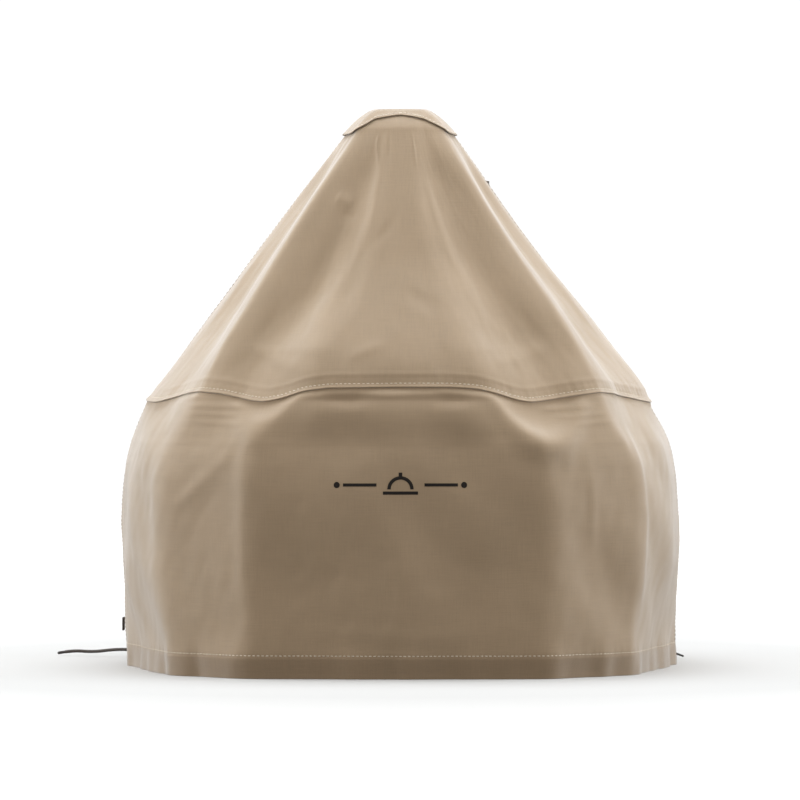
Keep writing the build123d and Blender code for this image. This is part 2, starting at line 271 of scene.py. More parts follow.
@dataclass(frozen=True)
class YokeLine:
    """The wavy line where the cone laps over the skirt."""

    level: float = 350.0
    half_width: float = 333.0
    rounding: float = 9.0
    points: tuple[tuple[float, float], ...] = (
        (-331, 349), (-318, 347), (-285, 357), (-254, 361), (-228, 358), (-192, 350), (-170, 347.5),
        (-146, 352), (-120, 361), (-88, 365), (0, 366), (60, 366), (94, 364), (119, 358),
        (144, 350), (163, 347), (190, 350), (226, 356), (252, 360), (280, 358), (315, 352), (330, 347),
    )

    def at(self, s: np.ndarray) -> np.ndarray:
        """Level of the line.

        Args:
            s: Distance round the cover.

        Returns:
            Level in millimetres.
        """
        fine = np.arange(-1400.0, 1400.0, 3.0)
        along = [TURN.front(x / self.half_width) for x, _ in self.points]
        seen = np.interp(fine, along, [z for _, z in self.points])
        rest = self.level + 1.0 + 4.5 * np.cos(fine / 76.0 + 0.6) + 2.0 * np.cos(fine / 41.0)
        wave = seen + (rest - seen) * ease(np.abs(fine), 500.0, 620.0)
        kernel = bump(np.arange(-24.0, 25.0, 3.0), self.rounding)
        smooth = np.convolve(wave, kernel / kernel.sum(), mode="same")
        joined = 0.5 * (smooth + smooth[::-1])
        smooth = smooth + (joined - smooth) * ease(np.abs(fine), 1060.0, 1160.0)
        return np.interp(s, fine, smooth)


@dataclass(frozen=True)
class LipLine:
    """The cap's lower edge: low at the two tips, and drawn up over front and back."""

    half_width: float = 72.5
    tips: float = 697.0
    rounding: float = 15.0
    points: tuple[tuple[float, float], ...] = (
        (-72.5, 697), (-64, 697.5), (-53, 705.5), (-41, 716.5), (0, 722), (37, 716.5), (50, 709),
        (64, 698.5), (72.5, 697),
    )

    def at(self, s: np.ndarray) -> np.ndarray:
        """Level of the edge.

        Args:
            s: Distance round the cover.

        Returns:
            Level in millimetres.
        """
        fine = np.arange(-1400.0, 1400.0, 3.0)
        share_x, _, out_x, _ = TURN.trace(fine)
        seen_x = self.half_width * (0.2 * share_x + 0.8 * out_x)
        level = np.interp(seen_x, [x for x, _ in self.points], [z for _, z in self.points])
        level = level - 3.0 * ease(np.abs(fine), 583.0, 760.0)
        kernel = bump(np.arange(-60.0, 61.0, 3.0), self.rounding)
        smooth = np.convolve(level, kernel / kernel.sum(), mode="same")
        return np.maximum(np.interp(s, fine, smooth), self.tips)


YOKE = YokeLine()
LIP = LipLine()

# Where the cord leaves the hem, left and right, as distances round the cover.
EYELETS = (-(TURN.side + TURN.flat_y + 116.8 + 7.6), TURN.side + TURN.flat_y + 73.8 + 7.6)


class Surface:
    """A cloth surface that is placed by distance round the cover and by level."""

    def place(self, s: np.ndarray, z: np.ndarray, lift: float = 0.0) -> np.ndarray:
        """Points of the surface, moved outwards by lift."""
        raise NotImplementedError

    def normal(self, s: np.ndarray, z: np.ndarray) -> np.ndarray:
        """Unit vectors that leave the surface.

        Args:
            s: Distance round the cover.
            z: Level.

        Returns:
            One unit vector for each point.
        """
        round_it = self.place(s + 1.0, z) - self.place(s - 1.0, z)
        up = self.place(s, z + 1.0) - self.place(s, z - 1.0)
        out = np.cross(round_it, up)
        return out / np.maximum(np.linalg.norm(out, axis=-1, keepdims=True), 1e-9)


@dataclass(frozen=True)
class ConeSurface(Surface):
    """The tapering upper part, stretched over the dome's corners and the flue."""

    low: float = 350.0
    high: float = 697.0
    base: tuple[float, float, float, float] = (67.0, 45.0, 266.0, 0.0)
    neck: tuple[float, float, float, float] = (14.5, 6.0, 56.2, -45.0)
    half_width: float = 333.0
    taper: float = 0.756
    drop: float = 0.165
    ridge_drop: float = 0.226
    flank_spread: float = 0.26
    ridge: float = 0.043
    proud: tuple[float, float] = (14.0, 6.0)
    lean_right: tuple[float, float] = (7.0, 7.0)
    lean_left: float = 3.0
    flank_levels: tuple[float, ...] = (366.0, 413.0, 485.0, 549.0, 614.0)
    flank_left: tuple[float, ...] = (0.58, 0.63, 0.48, 0.42, 0.37)
    flank_right: tuple[float, ...] = (0.48, 0.53, 0.475, 0.43, 0.40)
    flank_rear: tuple[float, ...] = (0.56, 0.56, 0.5, 0.44, 0.38)
    crown: tuple[tuple[float, float], ...] = (
        (697.0, 0.0), (704.0, 3.5), (712.0, 11.0), (720.0, 20.0), (727.0, 30.0), (731.0, 38.0),
        (733.0, 46.0),
    )
    ripple: Ripple = Ripple(1.1, 60.0, 180.0, 11, 16, 1.6)
    small: Ripple = Ripple(0.17, 16.0, 40.0, 12, 18, 1.3)

    def plan(self, z: np.ndarray) -> tuple[np.ndarray, np.ndarray, np.ndarray, np.ndarray]:
        """Plain plan of the cone at a level.

        Args:
            z: Level.

        Returns:
            Corner centre's x and y, corner radius, and the y of the plan's middle.
        """
        share = np.minimum((z - self.low) / (self.high - self.low), 1.0)
        centre_x, centre_y, radius, middle = (a + (b - a) * share for a, b in zip(self.base, self.neck))
        inset = np.interp(z, [level for level, _ in self.crown], [size for _, size in self.crown])
        return centre_x, centre_y, radius - inset, middle

    def facet(self, inside: np.ndarray, reach: np.ndarray, radius: np.ndarray,
              flank: np.ndarray) -> np.ndarray:
        """Height of one flat side: a middle panel, a flank beside it, and the run to the ridge.

        Args:
            inside: Cosine of the angle from the panel's own direction.
            reach: Share of the way from the panel's middle to the ridge.
            radius: Corner radius at this level.
            flank: Where the flank lies, as a share of that way.

        Returns:
            Height over the round plan, in millimetres.
        """
        own = radius * (1.0 - np.clip(inside, -1.0, 1.0))
        fall = self.drop * ease(reach, flank - self.flank_spread, flank + self.flank_spread)
        fall = fall + (self.ridge_drop - self.drop) * np.clip(reach, 0.0, 1.3)
        fall = fall - self.ridge * bump(reach - 1.0, 0.16)
        return (own - radius * fall) * np.maximum(inside, 0.35)

    def stretch(self, s: np.ndarray, z: np.ndarray) -> np.ndarray:
        """Height of the stretched shape over the plain round plan.

        Args:
            s: Distance round the cover.
            z: Level.

        Returns:
            Height in millimetres.
        """
        share_x, share_y, out_x, out_y = TURN.trace(s)
        reach_x = np.abs(0.2 * share_x + 0.8 * out_x) / 0.766
        reach_y = np.abs(0.145 * share_y + 0.855 * out_y) / 0.7496
        left = np.interp(z, self.flank_levels, self.flank_left)
        right = np.interp(z, self.flank_levels, self.flank_right)
        flank = np.where(s < 0.0, left, right)
        rear = np.interp(z, self.flank_levels, self.flank_rear)
        flank = flank + (rear - flank) * ease(np.abs(s), 560.0, 640.0)
        radius = self.plan(z)[2]
        ends = self.facet(np.abs(out_y), reach_x, radius, flank)
        sides = self.facet(np.abs(out_x), reach_y, radius, rear)
        whole = soft_least((ends, sides), 1.6)
        whole = whole * (0.5 + 0.5 * ease(z, 352.0, 440.0)) * (1.0 - 0.62 * ease(z, 630.0, 700.0))
        near, more = self.proud
        in_front = (1.0 - ease(np.abs(s), 110.0, 240.0)) * (1.0 - ease(z, 395.0, 540.0))
        in_front = in_front * (near + more * ease(z, 352.0, 392.0))
        high, low = self.lean_right
        right = ease(out_x, 0.2, 0.9) * (high * bump(z - 572.0, 75.0) + low * bump(z - 348.0, 18.0))
        left = self.lean_left * bump(z - 590.0, 110.0) * ease(-out_x, 0.2, 0.9)
        return whole + in_front - right + left

    def route(self, *points: tuple[float, float]) -> tuple[tuple[float, float], ...]:
        """A fold's route through points that are given as a front view sees them."""
        return tuple((TURN.front(x / (self.half_width - self.taper * (z - self.low))), z) for x, z in points)

    def folds(self) -> list[Fold]:
        """The creases and small hollows of the cone, each listed one by one.

        Returns:
            One fold for each.
        """
        run = self.route
        return [
            Fold(run((-21, 676), (-34, 590), (-62, 520), (-128, 420)), 17.0, 1.8, 60.0),
            Fold(run((30, 640), (52, 565), (86, 490), (118, 428)), 17.0, 1.7, 60.0),
            Fold(run((-20, 575), (-16, 555)), 24.0, -2.4, 20.0),
            Fold(run((24, 490), (20, 462)), 30.0, -2.4, 24.0),
            Fold(run((-84, 612), (-62, 604)), 7.0, 1.6, 14.0),
            Fold(run((-80, 590), (-58, 585)), 6.0, -1.3, 14.0),
            Fold(run((-64, 402), (-18, 422)), 8.0, 1.5, 22.0),
            Fold(run((-30, 692), (-26, 655)), 5.0, 1.6, 16.0),
            Fold(run((-14, 694), (-12, 664)), 4.5, -1.4, 16.0),
            Fold(run((14, 694), (18, 650)), 5.5, 1.3, 18.0),
            Fold(run((150, 470), (196, 400)), 14.0, -1.8, 34.0),
            Fold(run((-150, 480), (-186, 415)), 13.0, -1.6, 34.0),
            Fold(run((-190, 420), (-150, 398), (-120, 392)), 9.0, 1.7, 26.0),
            Fold(run((100, 396), (150, 402), (190, 420)), 9.0, 1.6, 26.0),
            Fold(((590.0, 640.0), (640.0, 520.0), (720.0, 410.0)), 20.0, 2.6, 60.0),
            Fold(((-600.0, 650.0), (-655.0, 540.0), (-700.0, 430.0)), 18.0, 2.4, 60.0),
            Fold(((1010.0, 640.0), (985.0, 520.0), (940.0, 410.0)), 20.0, 2.8, 60.0),
            Fold(((-1060.0, 640.0), (-1020.0, 520.0), (-990.0, 420.0)), 18.0, 2.4, 60.0),
            Fold(((880.0, 560.0), (930.0, 480.0)), 14.0, -2.2, 40.0),
            Fold(((-860.0, 600.0), (-900.0, 470.0)), 16.0, -2.4, 50.0),
            Fold(((500.0, 520.0), (470.0, 430.0)), 15.0, 1.8, 40.0),
            Fold(((-500.0, 560.0), (-480.0, 440.0)), 15.0, 1.8, 40.0),
        ]

    def height(self, s: np.ndarray, z: np.ndarray) -> np.ndarray:
        """Whole height of the cloth over the plain plan.

        Args:
            s: Distance round the cover.
            z: Level.

        Returns:
            Height in millimetres.
        """
        room = self.plan(z)[2] / self.base[2]
        uneven = self.ripple.at(s, z) + self.small.at(s, z)
        total = self.stretch(s, z) + uneven * (0.06 + 0.94 * room**1.4)
        for crease in self.folds():
            total = total + crease.at(s, z)
        over_line = z - YOKE.at(s)
        pucker = np.sin(s / 1.9 + 1.3 * np.sin(s / 17.0)) * bump(over_line - 9.0, 8.0)
        seam = 0.75 * bump(over_line - 16.5, 2.6) - 0.45 * bump(over_line - 4.5, 2.0) + 0.32 * pucker
        return total + seam + 1.5 * bump(np.minimum(over_line, 40.0), 3.0)

    def place(self, s: np.ndarray, z: np.ndarray, lift: float = 0.0) -> np.ndarray:
        """Points of the cone's outer face.

        Args:
            s: Distance round the cover.
            z: Level.
            lift: How far the points are moved outwards.

        Returns:
            Points in millimetres.
        """
        s, z = np.broadcast_arrays(np.asarray(s, float), np.asarray(z, float))
        share_x, share_y, out_x, out_y = TURN.trace(s)
        centre_x, centre_y, radius, middle = self.plan(z)
        radius = radius + self.height(s, z) + lift
        x = share_x * centre_x + out_x * radius
        y = middle + share_y * centre_y + out_y * radius
        return np.stack((x, y, z), -1)


CONE = ConeSurface()


@dataclass(frozen=True)
class SkirtSurface(Surface):
    """The rounded lower part, which hangs in soft flat faces between its corners."""

    levels: tuple[tuple[float, float], ...] = (
        (0.0, 2.0), (60.0, 1.8), (130.0, 0.7), (190.0, 0.0), (215.0, 0.2), (235.0, 0.9), (252.0, 2.2),
        (268.0, 4.4), (282.0, 7.4), (296.0, 11.4), (310.0, 16.6), (322.0, 21.8), (336.0, 28.6), (350.0, 35.8),
    )
    half_width: float = 366.0
    top_level: float = 350.0
    lap: float = 1.8
    belly: tuple[tuple[float, float], ...] = (
        (0, -345), (188, -331), (304, -242), (349, -132), (366.5, 0), (338, 148), (258, 268), (138, 336),
        (0, 344),
    )
    hem: tuple[tuple[float, float], ...] = (
        (0, -345), (196, -333), (298, -248), (334, -128), (366, 6), (345, 138), (268, 262), (140, 334),
        (0, 344),
    )
    top: tuple[tuple[float, float], ...] = (
        (0, -345), (138, -341), (262, -279), (338, -150), (366.5, 0), (338, 148), (258, 268), (138, 336),
        (0, 344),
    )
    softness: tuple[tuple[float, float], ...] = (
        (-365, 3.0), (-330, 4.5), (-270, 4.0), (-225, 3.4), (-150, 3.2), (0, 3.0), (130, 4.0), (190, 6.0),
        (250, 5.0), (290, 1.9), (335, 1.9), (365, 3.0),
    )
    pouches: tuple[Pouch, ...] = (
        Pouch(TURN.front(-186.0 / 366.0), 46.0, 319.0, 24.0, 9.0),
        Pouch(TURN.front(190.0 / 366.0), 66.0, 297.0, 44.0, 13.0),
    )
    ripple: Ripple = Ripple(1.35, 80.0, 220.0, 21, 16, 1.2)
    small: Ripple = Ripple(0.15, 20.0, 46.0, 22, 18, 1.2)

    def inset(self, z: np.ndarray) -> np.ndarray:
        """How far the plain plan stands inside the widest one at a level."""
        return np.interp(z, [level for level, _ in self.levels], [size for _, size in self.levels])

    def faces(self, s: np.ndarray, z: np.ndarray) -> np.ndarray:
        """Height of the flat faces that the cloth hangs in, over the plain round plan.

        Args:
            s: Distance round the cover.
            z: Level.

        Returns:
            Height in millimetres.
        """
        share_x, share_y, out_x, out_y = TURN.trace(np.abs(s))
        inset = self.inset(z)
        x = share_x * TURN.flat_x + out_x * (TURN.radius - inset)
        y = share_y * TURN.flat_y + out_y * (TURN.radius - inset)
        blend = ease(z, 20.0, 150.0)
        drawn_in = ease(z, 262.0, 345.0) * (0.2 + 0.35 * ease(s, -90.0, 60.0))
        corners = []
        for hem, belly, top in zip(self.hem, self.belly, self.top):
            corners.append(tuple(low + (middle - low) * blend + (high - middle) * drawn_in
                                 for low, middle, high in zip(hem, belly, top)))
        gaps = []
        for (x0, y0), (x1, y1) in zip(corners, corners[1:]):
            length = np.hypot(x1 - x0, y1 - y0)
            way_x, way_y = (y1 - y0) / length, -(x1 - x0) / length
            facing = out_x * way_x + out_y * way_y
            gap = ((x0 - x) * way_x + (y0 - y) * way_y - inset) / np.maximum(facing, 0.25)
            gaps.append(np.where(facing > 0.3, gap, 60.0))
        near = [TURN.front(x / self.half_width) for x, _ in self.softness]
        return soft_least(gaps, np.interp(s, near, [size for _, size in self.softness]))

    def route(self, *points: tuple[float, float]) -> tuple[tuple[float, float], ...]:
        """A fold's route through points that are given as a front view sees them."""
        return tuple((TURN.front(x / self.half_width), z) for x, z in points)

    def folds(self) -> list[Fold]:
        """The swags, drag lines and soft edges of the skirt, each listed one by one.

        Returns:
            One fold for each.
        """
        run = self.route
        return [
            Fold(run((-286, 343), (-208, 341)), 3.4, 1.1, 22.0),
            Fold(run((-282, 333), (-215, 330)), 3.4, 0.9, 22.0),
            Fold(run((-276, 323), (-205, 318)), 4.0, 0.8, 22.0),
            Fold(run((190, 337), (262, 342)), 3.4, 1.1, 22.0),
            Fold(run((205, 327), (280, 333)), 3.4, 0.9, 22.0),
            Fold(run((228, 318), (285, 323)), 4.0, 0.8, 22.0),
            Fold(run((-194, 296), (-196, 200), (-194, 92)), 11.0, 2.0, 50.0),
            Fold(run((188, 280), (194, 190), (192, 100)), 20.0, 1.8, 60.0),
            Fold(run((304, 318), (306, 200), (303, 80)), 9.0, 2.0, 50.0),
            Fold(run((-306, 310), (-309, 200), (-306, 90)), 18.0, 1.8, 60.0),
            Fold(run((-214, 286), (-250, 246), (-288, 208)), 10.0, 1.6, 40.0),
            Fold(run((-200, 262), (-236, 226), (-262, 196)), 9.0, -0.6, 36.0),
            Fold(run((240, 276), (243, 150)), 7.0, 1.1, 50.0),
            Fold(run((-104, 352), (-66, 351), (-34, 353)), 9.0, -4.2, 24.0),
            Fold(run((36, 353), (66, 351), (96, 352)), 9.0, -4.2, 24.0),
            Fold(run((-214, 300), (-196, 288)), 15.0, -3.4, 26.0),
            Fold(run((178, 272), (214, 270)), 17.0, -2.4, 26.0),
            Fold(run((-52, 330), (-46, 180), (-60, 40)), 34.0, 1.9, 70.0),
            Fold(run((46, 320), (44, 180), (40, 60)), 30.0, -1.7, 70.0),
            Fold(run((116, 325), (112, 200), (110, 60)), 26.0, 1.8, 70.0),
            Fold(run((-130, 300), (-134, 120)), 24.0, -1.5, 60.0),
            Fold(run((-110, 60), (40, 52), (150, 62)), 12.0, 1.2, 60.0),
            Fold(run((-150, 120), (-40, 132)), 22.0, -1.4, 50.0),
            Fold(run((60, 150), (160, 128)), 22.0, -1.3, 50.0),
            Fold(((600.0, 330.0), (640.0, 240.0), (650.0, 110.0)), 17.0, 3.4, 60.0),
            Fold(((-610.0, 330.0), (-665.0, 230.0), (-650.0, 120.0)), 16.0, 3.0, 60.0),
            Fold(((760.0, 338.0), (800.0, 322.0), (842.0, 338.0)), 10.0, 5.0, 18.0),
            Fold(((-770.0, 336.0), (-812.0, 318.0), (-856.0, 338.0)), 10.0, 5.0, 18.0),
            Fold(((960.0, 340.0), (1010.0, 325.0), (1050.0, 340.0)), 10.0, 4.0, 18.0),
            Fold(((-1000.0, 340.0), (-1046.0, 324.0), (-1080.0, 340.0)), 10.0, 4.0, 18.0),
            Fold(((900.0, 300.0), (880.0, 190.0), (905.0, 90.0)), 18.0, 3.0, 60.0),
            Fold(((-930.0, 300.0), (-900.0, 190.0), (-925.0, 100.0)), 18.0, 3.0, 60.0),
            Fold(((1080.0, 280.0), (1100.0, 180.0)), 20.0, -2.4, 50.0),
        ]

    def near_way_out(self, s: np.ndarray, z: np.ndarray) -> np.ndarray:
        """How freely the cloth may leave its plain plan, which the eyelets hold it to.

        Args:
            s: Distance round the cover.
            z: Level.

        Returns:
            1 away from the eyelets, and 0 at them.
        """
        free = np.ones(np.broadcast(s, z).shape)
        low = 1.0 - ease(z, 34.0, 80.0)
        for spot, reach in zip(EYELETS, (34.0, 40.0)):
            free = free * (1.0 - low * (1.0 - ease(np.abs(s - spot), reach * 0.5, reach * 2.2)))
        return free

    def height(self, s: np.ndarray, z: np.ndarray) -> np.ndarray:
        """Whole height of the cloth over the plain plan.

        Args:
            s: Distance round the cover.
            z: Level.

        Returns:
            Height in millimetres.
        """
        shoulder = ease(z, 288.0, 346.0)
        total = self.faces(s, z) * (1.0 - shoulder) + CONE.stretch(s, np.full_like(z, 352.0)) * shoulder
        uneven = self.ripple.at(s, z) + self.small.at(s, z)
        total = total + uneven * (1.0 - 0.6 * shoulder) * ease(z, -30.0, 60.0)
        for crease in self.folds():
            total = total + crease.at(s, z)
        for pouch in self.pouches:
            total = total + pouch.at(s, z)
        out_x = TURN.trace(s)[2]
        left_bulge = 3.4 * bump(z - 215.0, 62.0) + 1.3 * bump(z - 95.0, 70.0)
        right_bulge = 3.2 * bump(z - 190.0, 62.0)
        total = total + left_bulge * ease(-out_x, 0.6, 0.98)
        total = total + right_bulge * ease(out_x, 0.6, 0.98)
        pucker = np.sin(s / 2.1 + 1.6 * np.sin(s / 23.0)) * bump(z - 30.0, 6.0)
        corner = 0.5 + 0.5 * ease(np.abs(s), 150.0, 330.0)
        hem = 0.6 * (1.0 - ease(z, 28.5, 32.5)) - 0.55 * bump(z - 28.8, 1.9) + 0.36 * corner * pucker
        wave = np.sin(s / 18.0 + 1.7 * np.sin(s / 47.0) + 0.6 * np.sin(s / 11.0))
        low = 1.0 - ease(z, -3.0, 30.0)
        curl = low * (5.5 * ease(np.abs(out_x), 0.5, 0.95) - 5.0) + 2.3 * wave * (1.0 - ease(z, 4.0, 62.0))
        seam = 0.8 * ease(TURN.side + 5.5 - np.abs(s), -1.0, 1.0)
        seam = seam * ease(np.abs(s), TURN.side - 6.5, TURN.side - 4.5)
        return (total + hem + curl) * self.near_way_out(s, z) + seam

    def place(self, s: np.ndarray, z: np.ndarray, lift: float = 0.0) -> np.ndarray:
        """Points of the skirt's outer face, which runs up under the cone past the yoke line.

        Args:
            s: Distance round the cover.
            z: Level.
            lift: How far the points are moved outwards.

        Returns:
            Points in millimetres.
        """
        s, z = np.broadcast_arrays(np.asarray(s, float), np.asarray(z, float))
        share_x, share_y, out_x, out_y = TURN.trace(s)
        line = YOKE.at(s)
        over = ease(z, 322.0, self.top_level)
        stretched = z - over * (np.minimum(z, line) - np.minimum(z, self.top_level))
        radius = TURN.radius - self.inset(np.minimum(stretched, self.top_level))
        radius = radius + self.height(s, np.minimum(z, line)) + lift
        under = CONE.place(s, z, lift - self.lap - 0.5)
        x = share_x * TURN.flat_x + out_x * radius
        y = share_y * TURN.flat_y + out_y * radius
        own = np.stack((x, y, z), -1)
        share = ease(z - line, -12.0, 1.0)[..., None]
        return own + (under - own) * share


SKIRT = SkirtSurface()


@dataclass(frozen=True)
class CapSurface(Surface):
    """The small separate cap, which follows the top of the cone a little outside it."""

    stand: float = 2.0
    flare: float = 1.6
    tip_flare: float = 1.2

    def place(self, s: np.ndarray, z: np.ndarray, lift: float = 0.0) -> np.ndarray:
        """Points of the cap's outer face.

        Args:
            s: Distance round the cover.
            z: Level.
            lift: How far the points are moved outwards.

        Returns:
            Points in millimetres.
        """
        s, z = np.broadcast_arrays(np.asarray(s, float), np.asarray(z, float))
        edge = bump(np.maximum(z - LIP.at(s), 0.0), 4.0)
        tip = self.tip_flare * bump(np.abs(s) - TURN.side, 70.0)
        return CONE.place(s, z, lift + self.stand + (self.flare + tip) * edge)


CAP = CapSurface()


# ---- Meshes ----------------------------------------------------------------------------------


def make_object(name: str, points: np.ndarray, faces: Sequence[Sequence[int]],
                flat: np.ndarray | None = None) -> bpy.types.Object:
    """One smooth mesh object in the shared frame.

    Args:
        name: The piece's name.
        points: Its corners, in millimetres.
        faces: Its faces, as corner numbers.
        flat: The place of each corner on the flat cloth, in metres.

    Returns:
        The object, linked to the scene.
    """
    mesh = bpy.data.meshes.new(name)
    mesh.from_pydata((points * MM).tolist(), [], [list(face) for face in faces])
    mesh.polygons.foreach_set("use_smooth", [True] * len(mesh.polygons))
    if flat is not None:
        corners = np.zeros(len(mesh.loops), dtype=np.int32)
        mesh.loops.foreach_get("vertex_index", corners)
        layer = mesh.uv_layers.new(name="UVMap")
        layer.data.foreach_set("uv", flat[corners].astype(np.float32).ravel())
    mesh.update()
    piece = bpy.data.objects.new(name, mesh)
    bpy.context.scene.collection.objects.link(piece)
    return piece


def grid_faces(rows: int, columns: int, closed: bool = False) -> np.ndarray:
    """Faces of a grid of points, row by row.

    Args:
        rows: Number of rows.
        columns: Number of columns.
        closed: Whether the last column joins the first.

    Returns:
        Four corner numbers for each face.
    """
    run = np.arange(columns if closed else columns - 1)
    first = (np.arange(rows - 1)[:, None] * columns + run[None, :]).ravel()
    following = (np.arange(rows - 1)[:, None] * columns + ((run + 1) % columns)[None, :]).ravel()
    return np.stack((first, following, following + columns, first + columns), 1)


def cloth(name: str, points: np.ndarray, flat: np.ndarray, thickness: float, closed: bool = False,
          holes: Sequence[tuple[Vector, float]] = ()) -> bpy.types.Object:
    """A sheet of cloth of even thickness from a grid of points on its outer face.

    Args:
        name: The piece's name.
        points: Rows of points, in millimetres.
        flat: The same points on the flat cloth, in metres.
        thickness: Thickness of the cloth, in millimetres.
        closed: Whether the last column joins the first.
        holes: Middle, in metres, and radius, in millimetres, of each hole punched in it.

    Returns:
        The cloth object.
    """
    rows, columns = points.shape[:2]
    spots, faces = points.reshape(-1, 3), grid_faces(rows, columns, closed)
    for middle, radius in holes:
        outside = np.linalg.norm(spots - np.array(middle) / MM, axis=1) > radius
        faces = faces[outside[faces].any(axis=1)]
    piece = make_object(name, spots, faces, flat.reshape(-1, 2))
    body = piece.modifiers.new("thickness", "SOLIDIFY")
    body.thickness = thickness * MM
    body.offset = -1.0
    return piece


def stitches(name: str, surface: Surface, s: np.ndarray, z: np.ndarray, along: float,
             size: tuple[float, float, float], lift: float = 0.1) -> bpy.types.Object:
    """A row of single stitches that lie on a surface.

    Args:
        name: The piece's name.
        surface: The cloth that they lie on.
        s: Distance round the cover of each stitch.
        z: Level of each stitch.
        along: 0 for a row that runs round the cover, 1 for one that runs up it.
        size: Length, width and height of one stitch, in millimetres.
        lift: How far each stitch's middle stands off the cloth.

    Returns:
        One object that holds the row.
    """
    middle = surface.place(s, z)
    out = surface.normal(s, z)
    step = 1.5
    ahead = surface.place(s + step * (1 - along), z + step * along)
    behind = surface.place(s - step * (1 - along), z - step * along)
    run = ahead - behind
    run /= np.linalg.norm(run, axis=-1, keepdims=True)
    across = np.cross(out, run)
    length, width, height = size
    sections = ((-1.0, 0.3, -0.35), (-0.72, 0.85, 0.0), (0.0, 1.0, 0.12), (0.72, 0.85, 0.0),
                (1.0, 0.3, -0.35))
    sides = 6
    shape = []
    for place, swell, rise in sections:
        for k in range(sides):
            angle = 2.0 * math.pi * k / sides
            shape.append((place * length / 2, swell * width / 2 * math.cos(angle),
                          swell * height / 2 * math.sin(angle) + rise * height))
    shape = np.array(shape)
    points = (middle[:, None, :] + lift * out[:, None, :] + shape[None, :, 0:1] * run[:, None, :]
              + shape[None, :, 1:2] * across[:, None, :] + shape[None, :, 2:3] * out[:, None, :])
    one = [tuple(face) for face in grid_faces(len(sections), sides, True)]
    count = len(shape)
    one += [tuple(range(sides))[::-1], tuple(range(count - sides, count))]
    faces = [[corner + k * count for corner in face] for k in range(len(middle)) for face in one]
    return make_object(name, points.reshape(-1, 3), faces)


def line(name: str, points: Sequence[Sequence[float]], radius: float) -> bpy.types.Object:
    """A smooth round cord through control points.

    Args:
        name: The piece's name.
        points: Control points, in metres.
        radius: Radius of the cord, in metres.

    Returns:
        The curve object.
    """
    curve = bpy.data.curves.new(name, "CURVE")
    curve.dimensions = "3D"
    curve.bevel_depth = 1.0      # each control's own radius then sets the cord's
    curve.bevel_resolution = 5
    curve.use_fill_caps = True
    spline = curve.splines.new("NURBS")
    spline.points.add(len(points) - 1)
    for control, place in zip(spline.points, points):
        control.co = (*place, 1.0)
        control.radius = radius
    spline.order_u = 3
    spline.use_endpoint_u = True
    spline.resolution_u = 16
    piece = bpy.data.objects.new(name, curve)
    bpy.context.scene.collection.objects.link(piece)
    return piece


# ---- Finishes ----------------------------------------------------------------------------------


class Wire:
    """One socket in a finish, with the usual signs of arithmetic."""

    def __init__(self, bench: "Bench", socket: bpy.types.NodeSocket | None) -> None:
        """Wraps a socket of the bench's tree, or nothing for a node that only takes."""
        self.bench = bench
        self.socket = socket

    def other(self, out: Any) -> "Wire":
        """Another output of the same node."""
        return Wire(self.bench, self.socket.node.outputs[out])

    def __add__(self, other: Any) -> "Wire":
        """This plus another."""
        return self.bench.maths("ADD", self, other)

    def __radd__(self, other: Any) -> "Wire":
        """Another plus this."""
        return self.bench.maths("ADD", other, self)

    def __sub__(self, other: Any) -> "Wire":
        """This less another."""
        return self.bench.maths("SUBTRACT", self, other)

    def __rsub__(self, other: Any) -> "Wire":
        """Another less this."""
        return self.bench.maths("SUBTRACT", other, self)

    def __mul__(self, other: Any) -> "Wire":
        """This times another."""
        return self.bench.maths("MULTIPLY", self, other)

    def __rmul__(self, other: Any) -> "Wire":
        """Another times this."""
        return self.bench.maths("MULTIPLY", other, self)


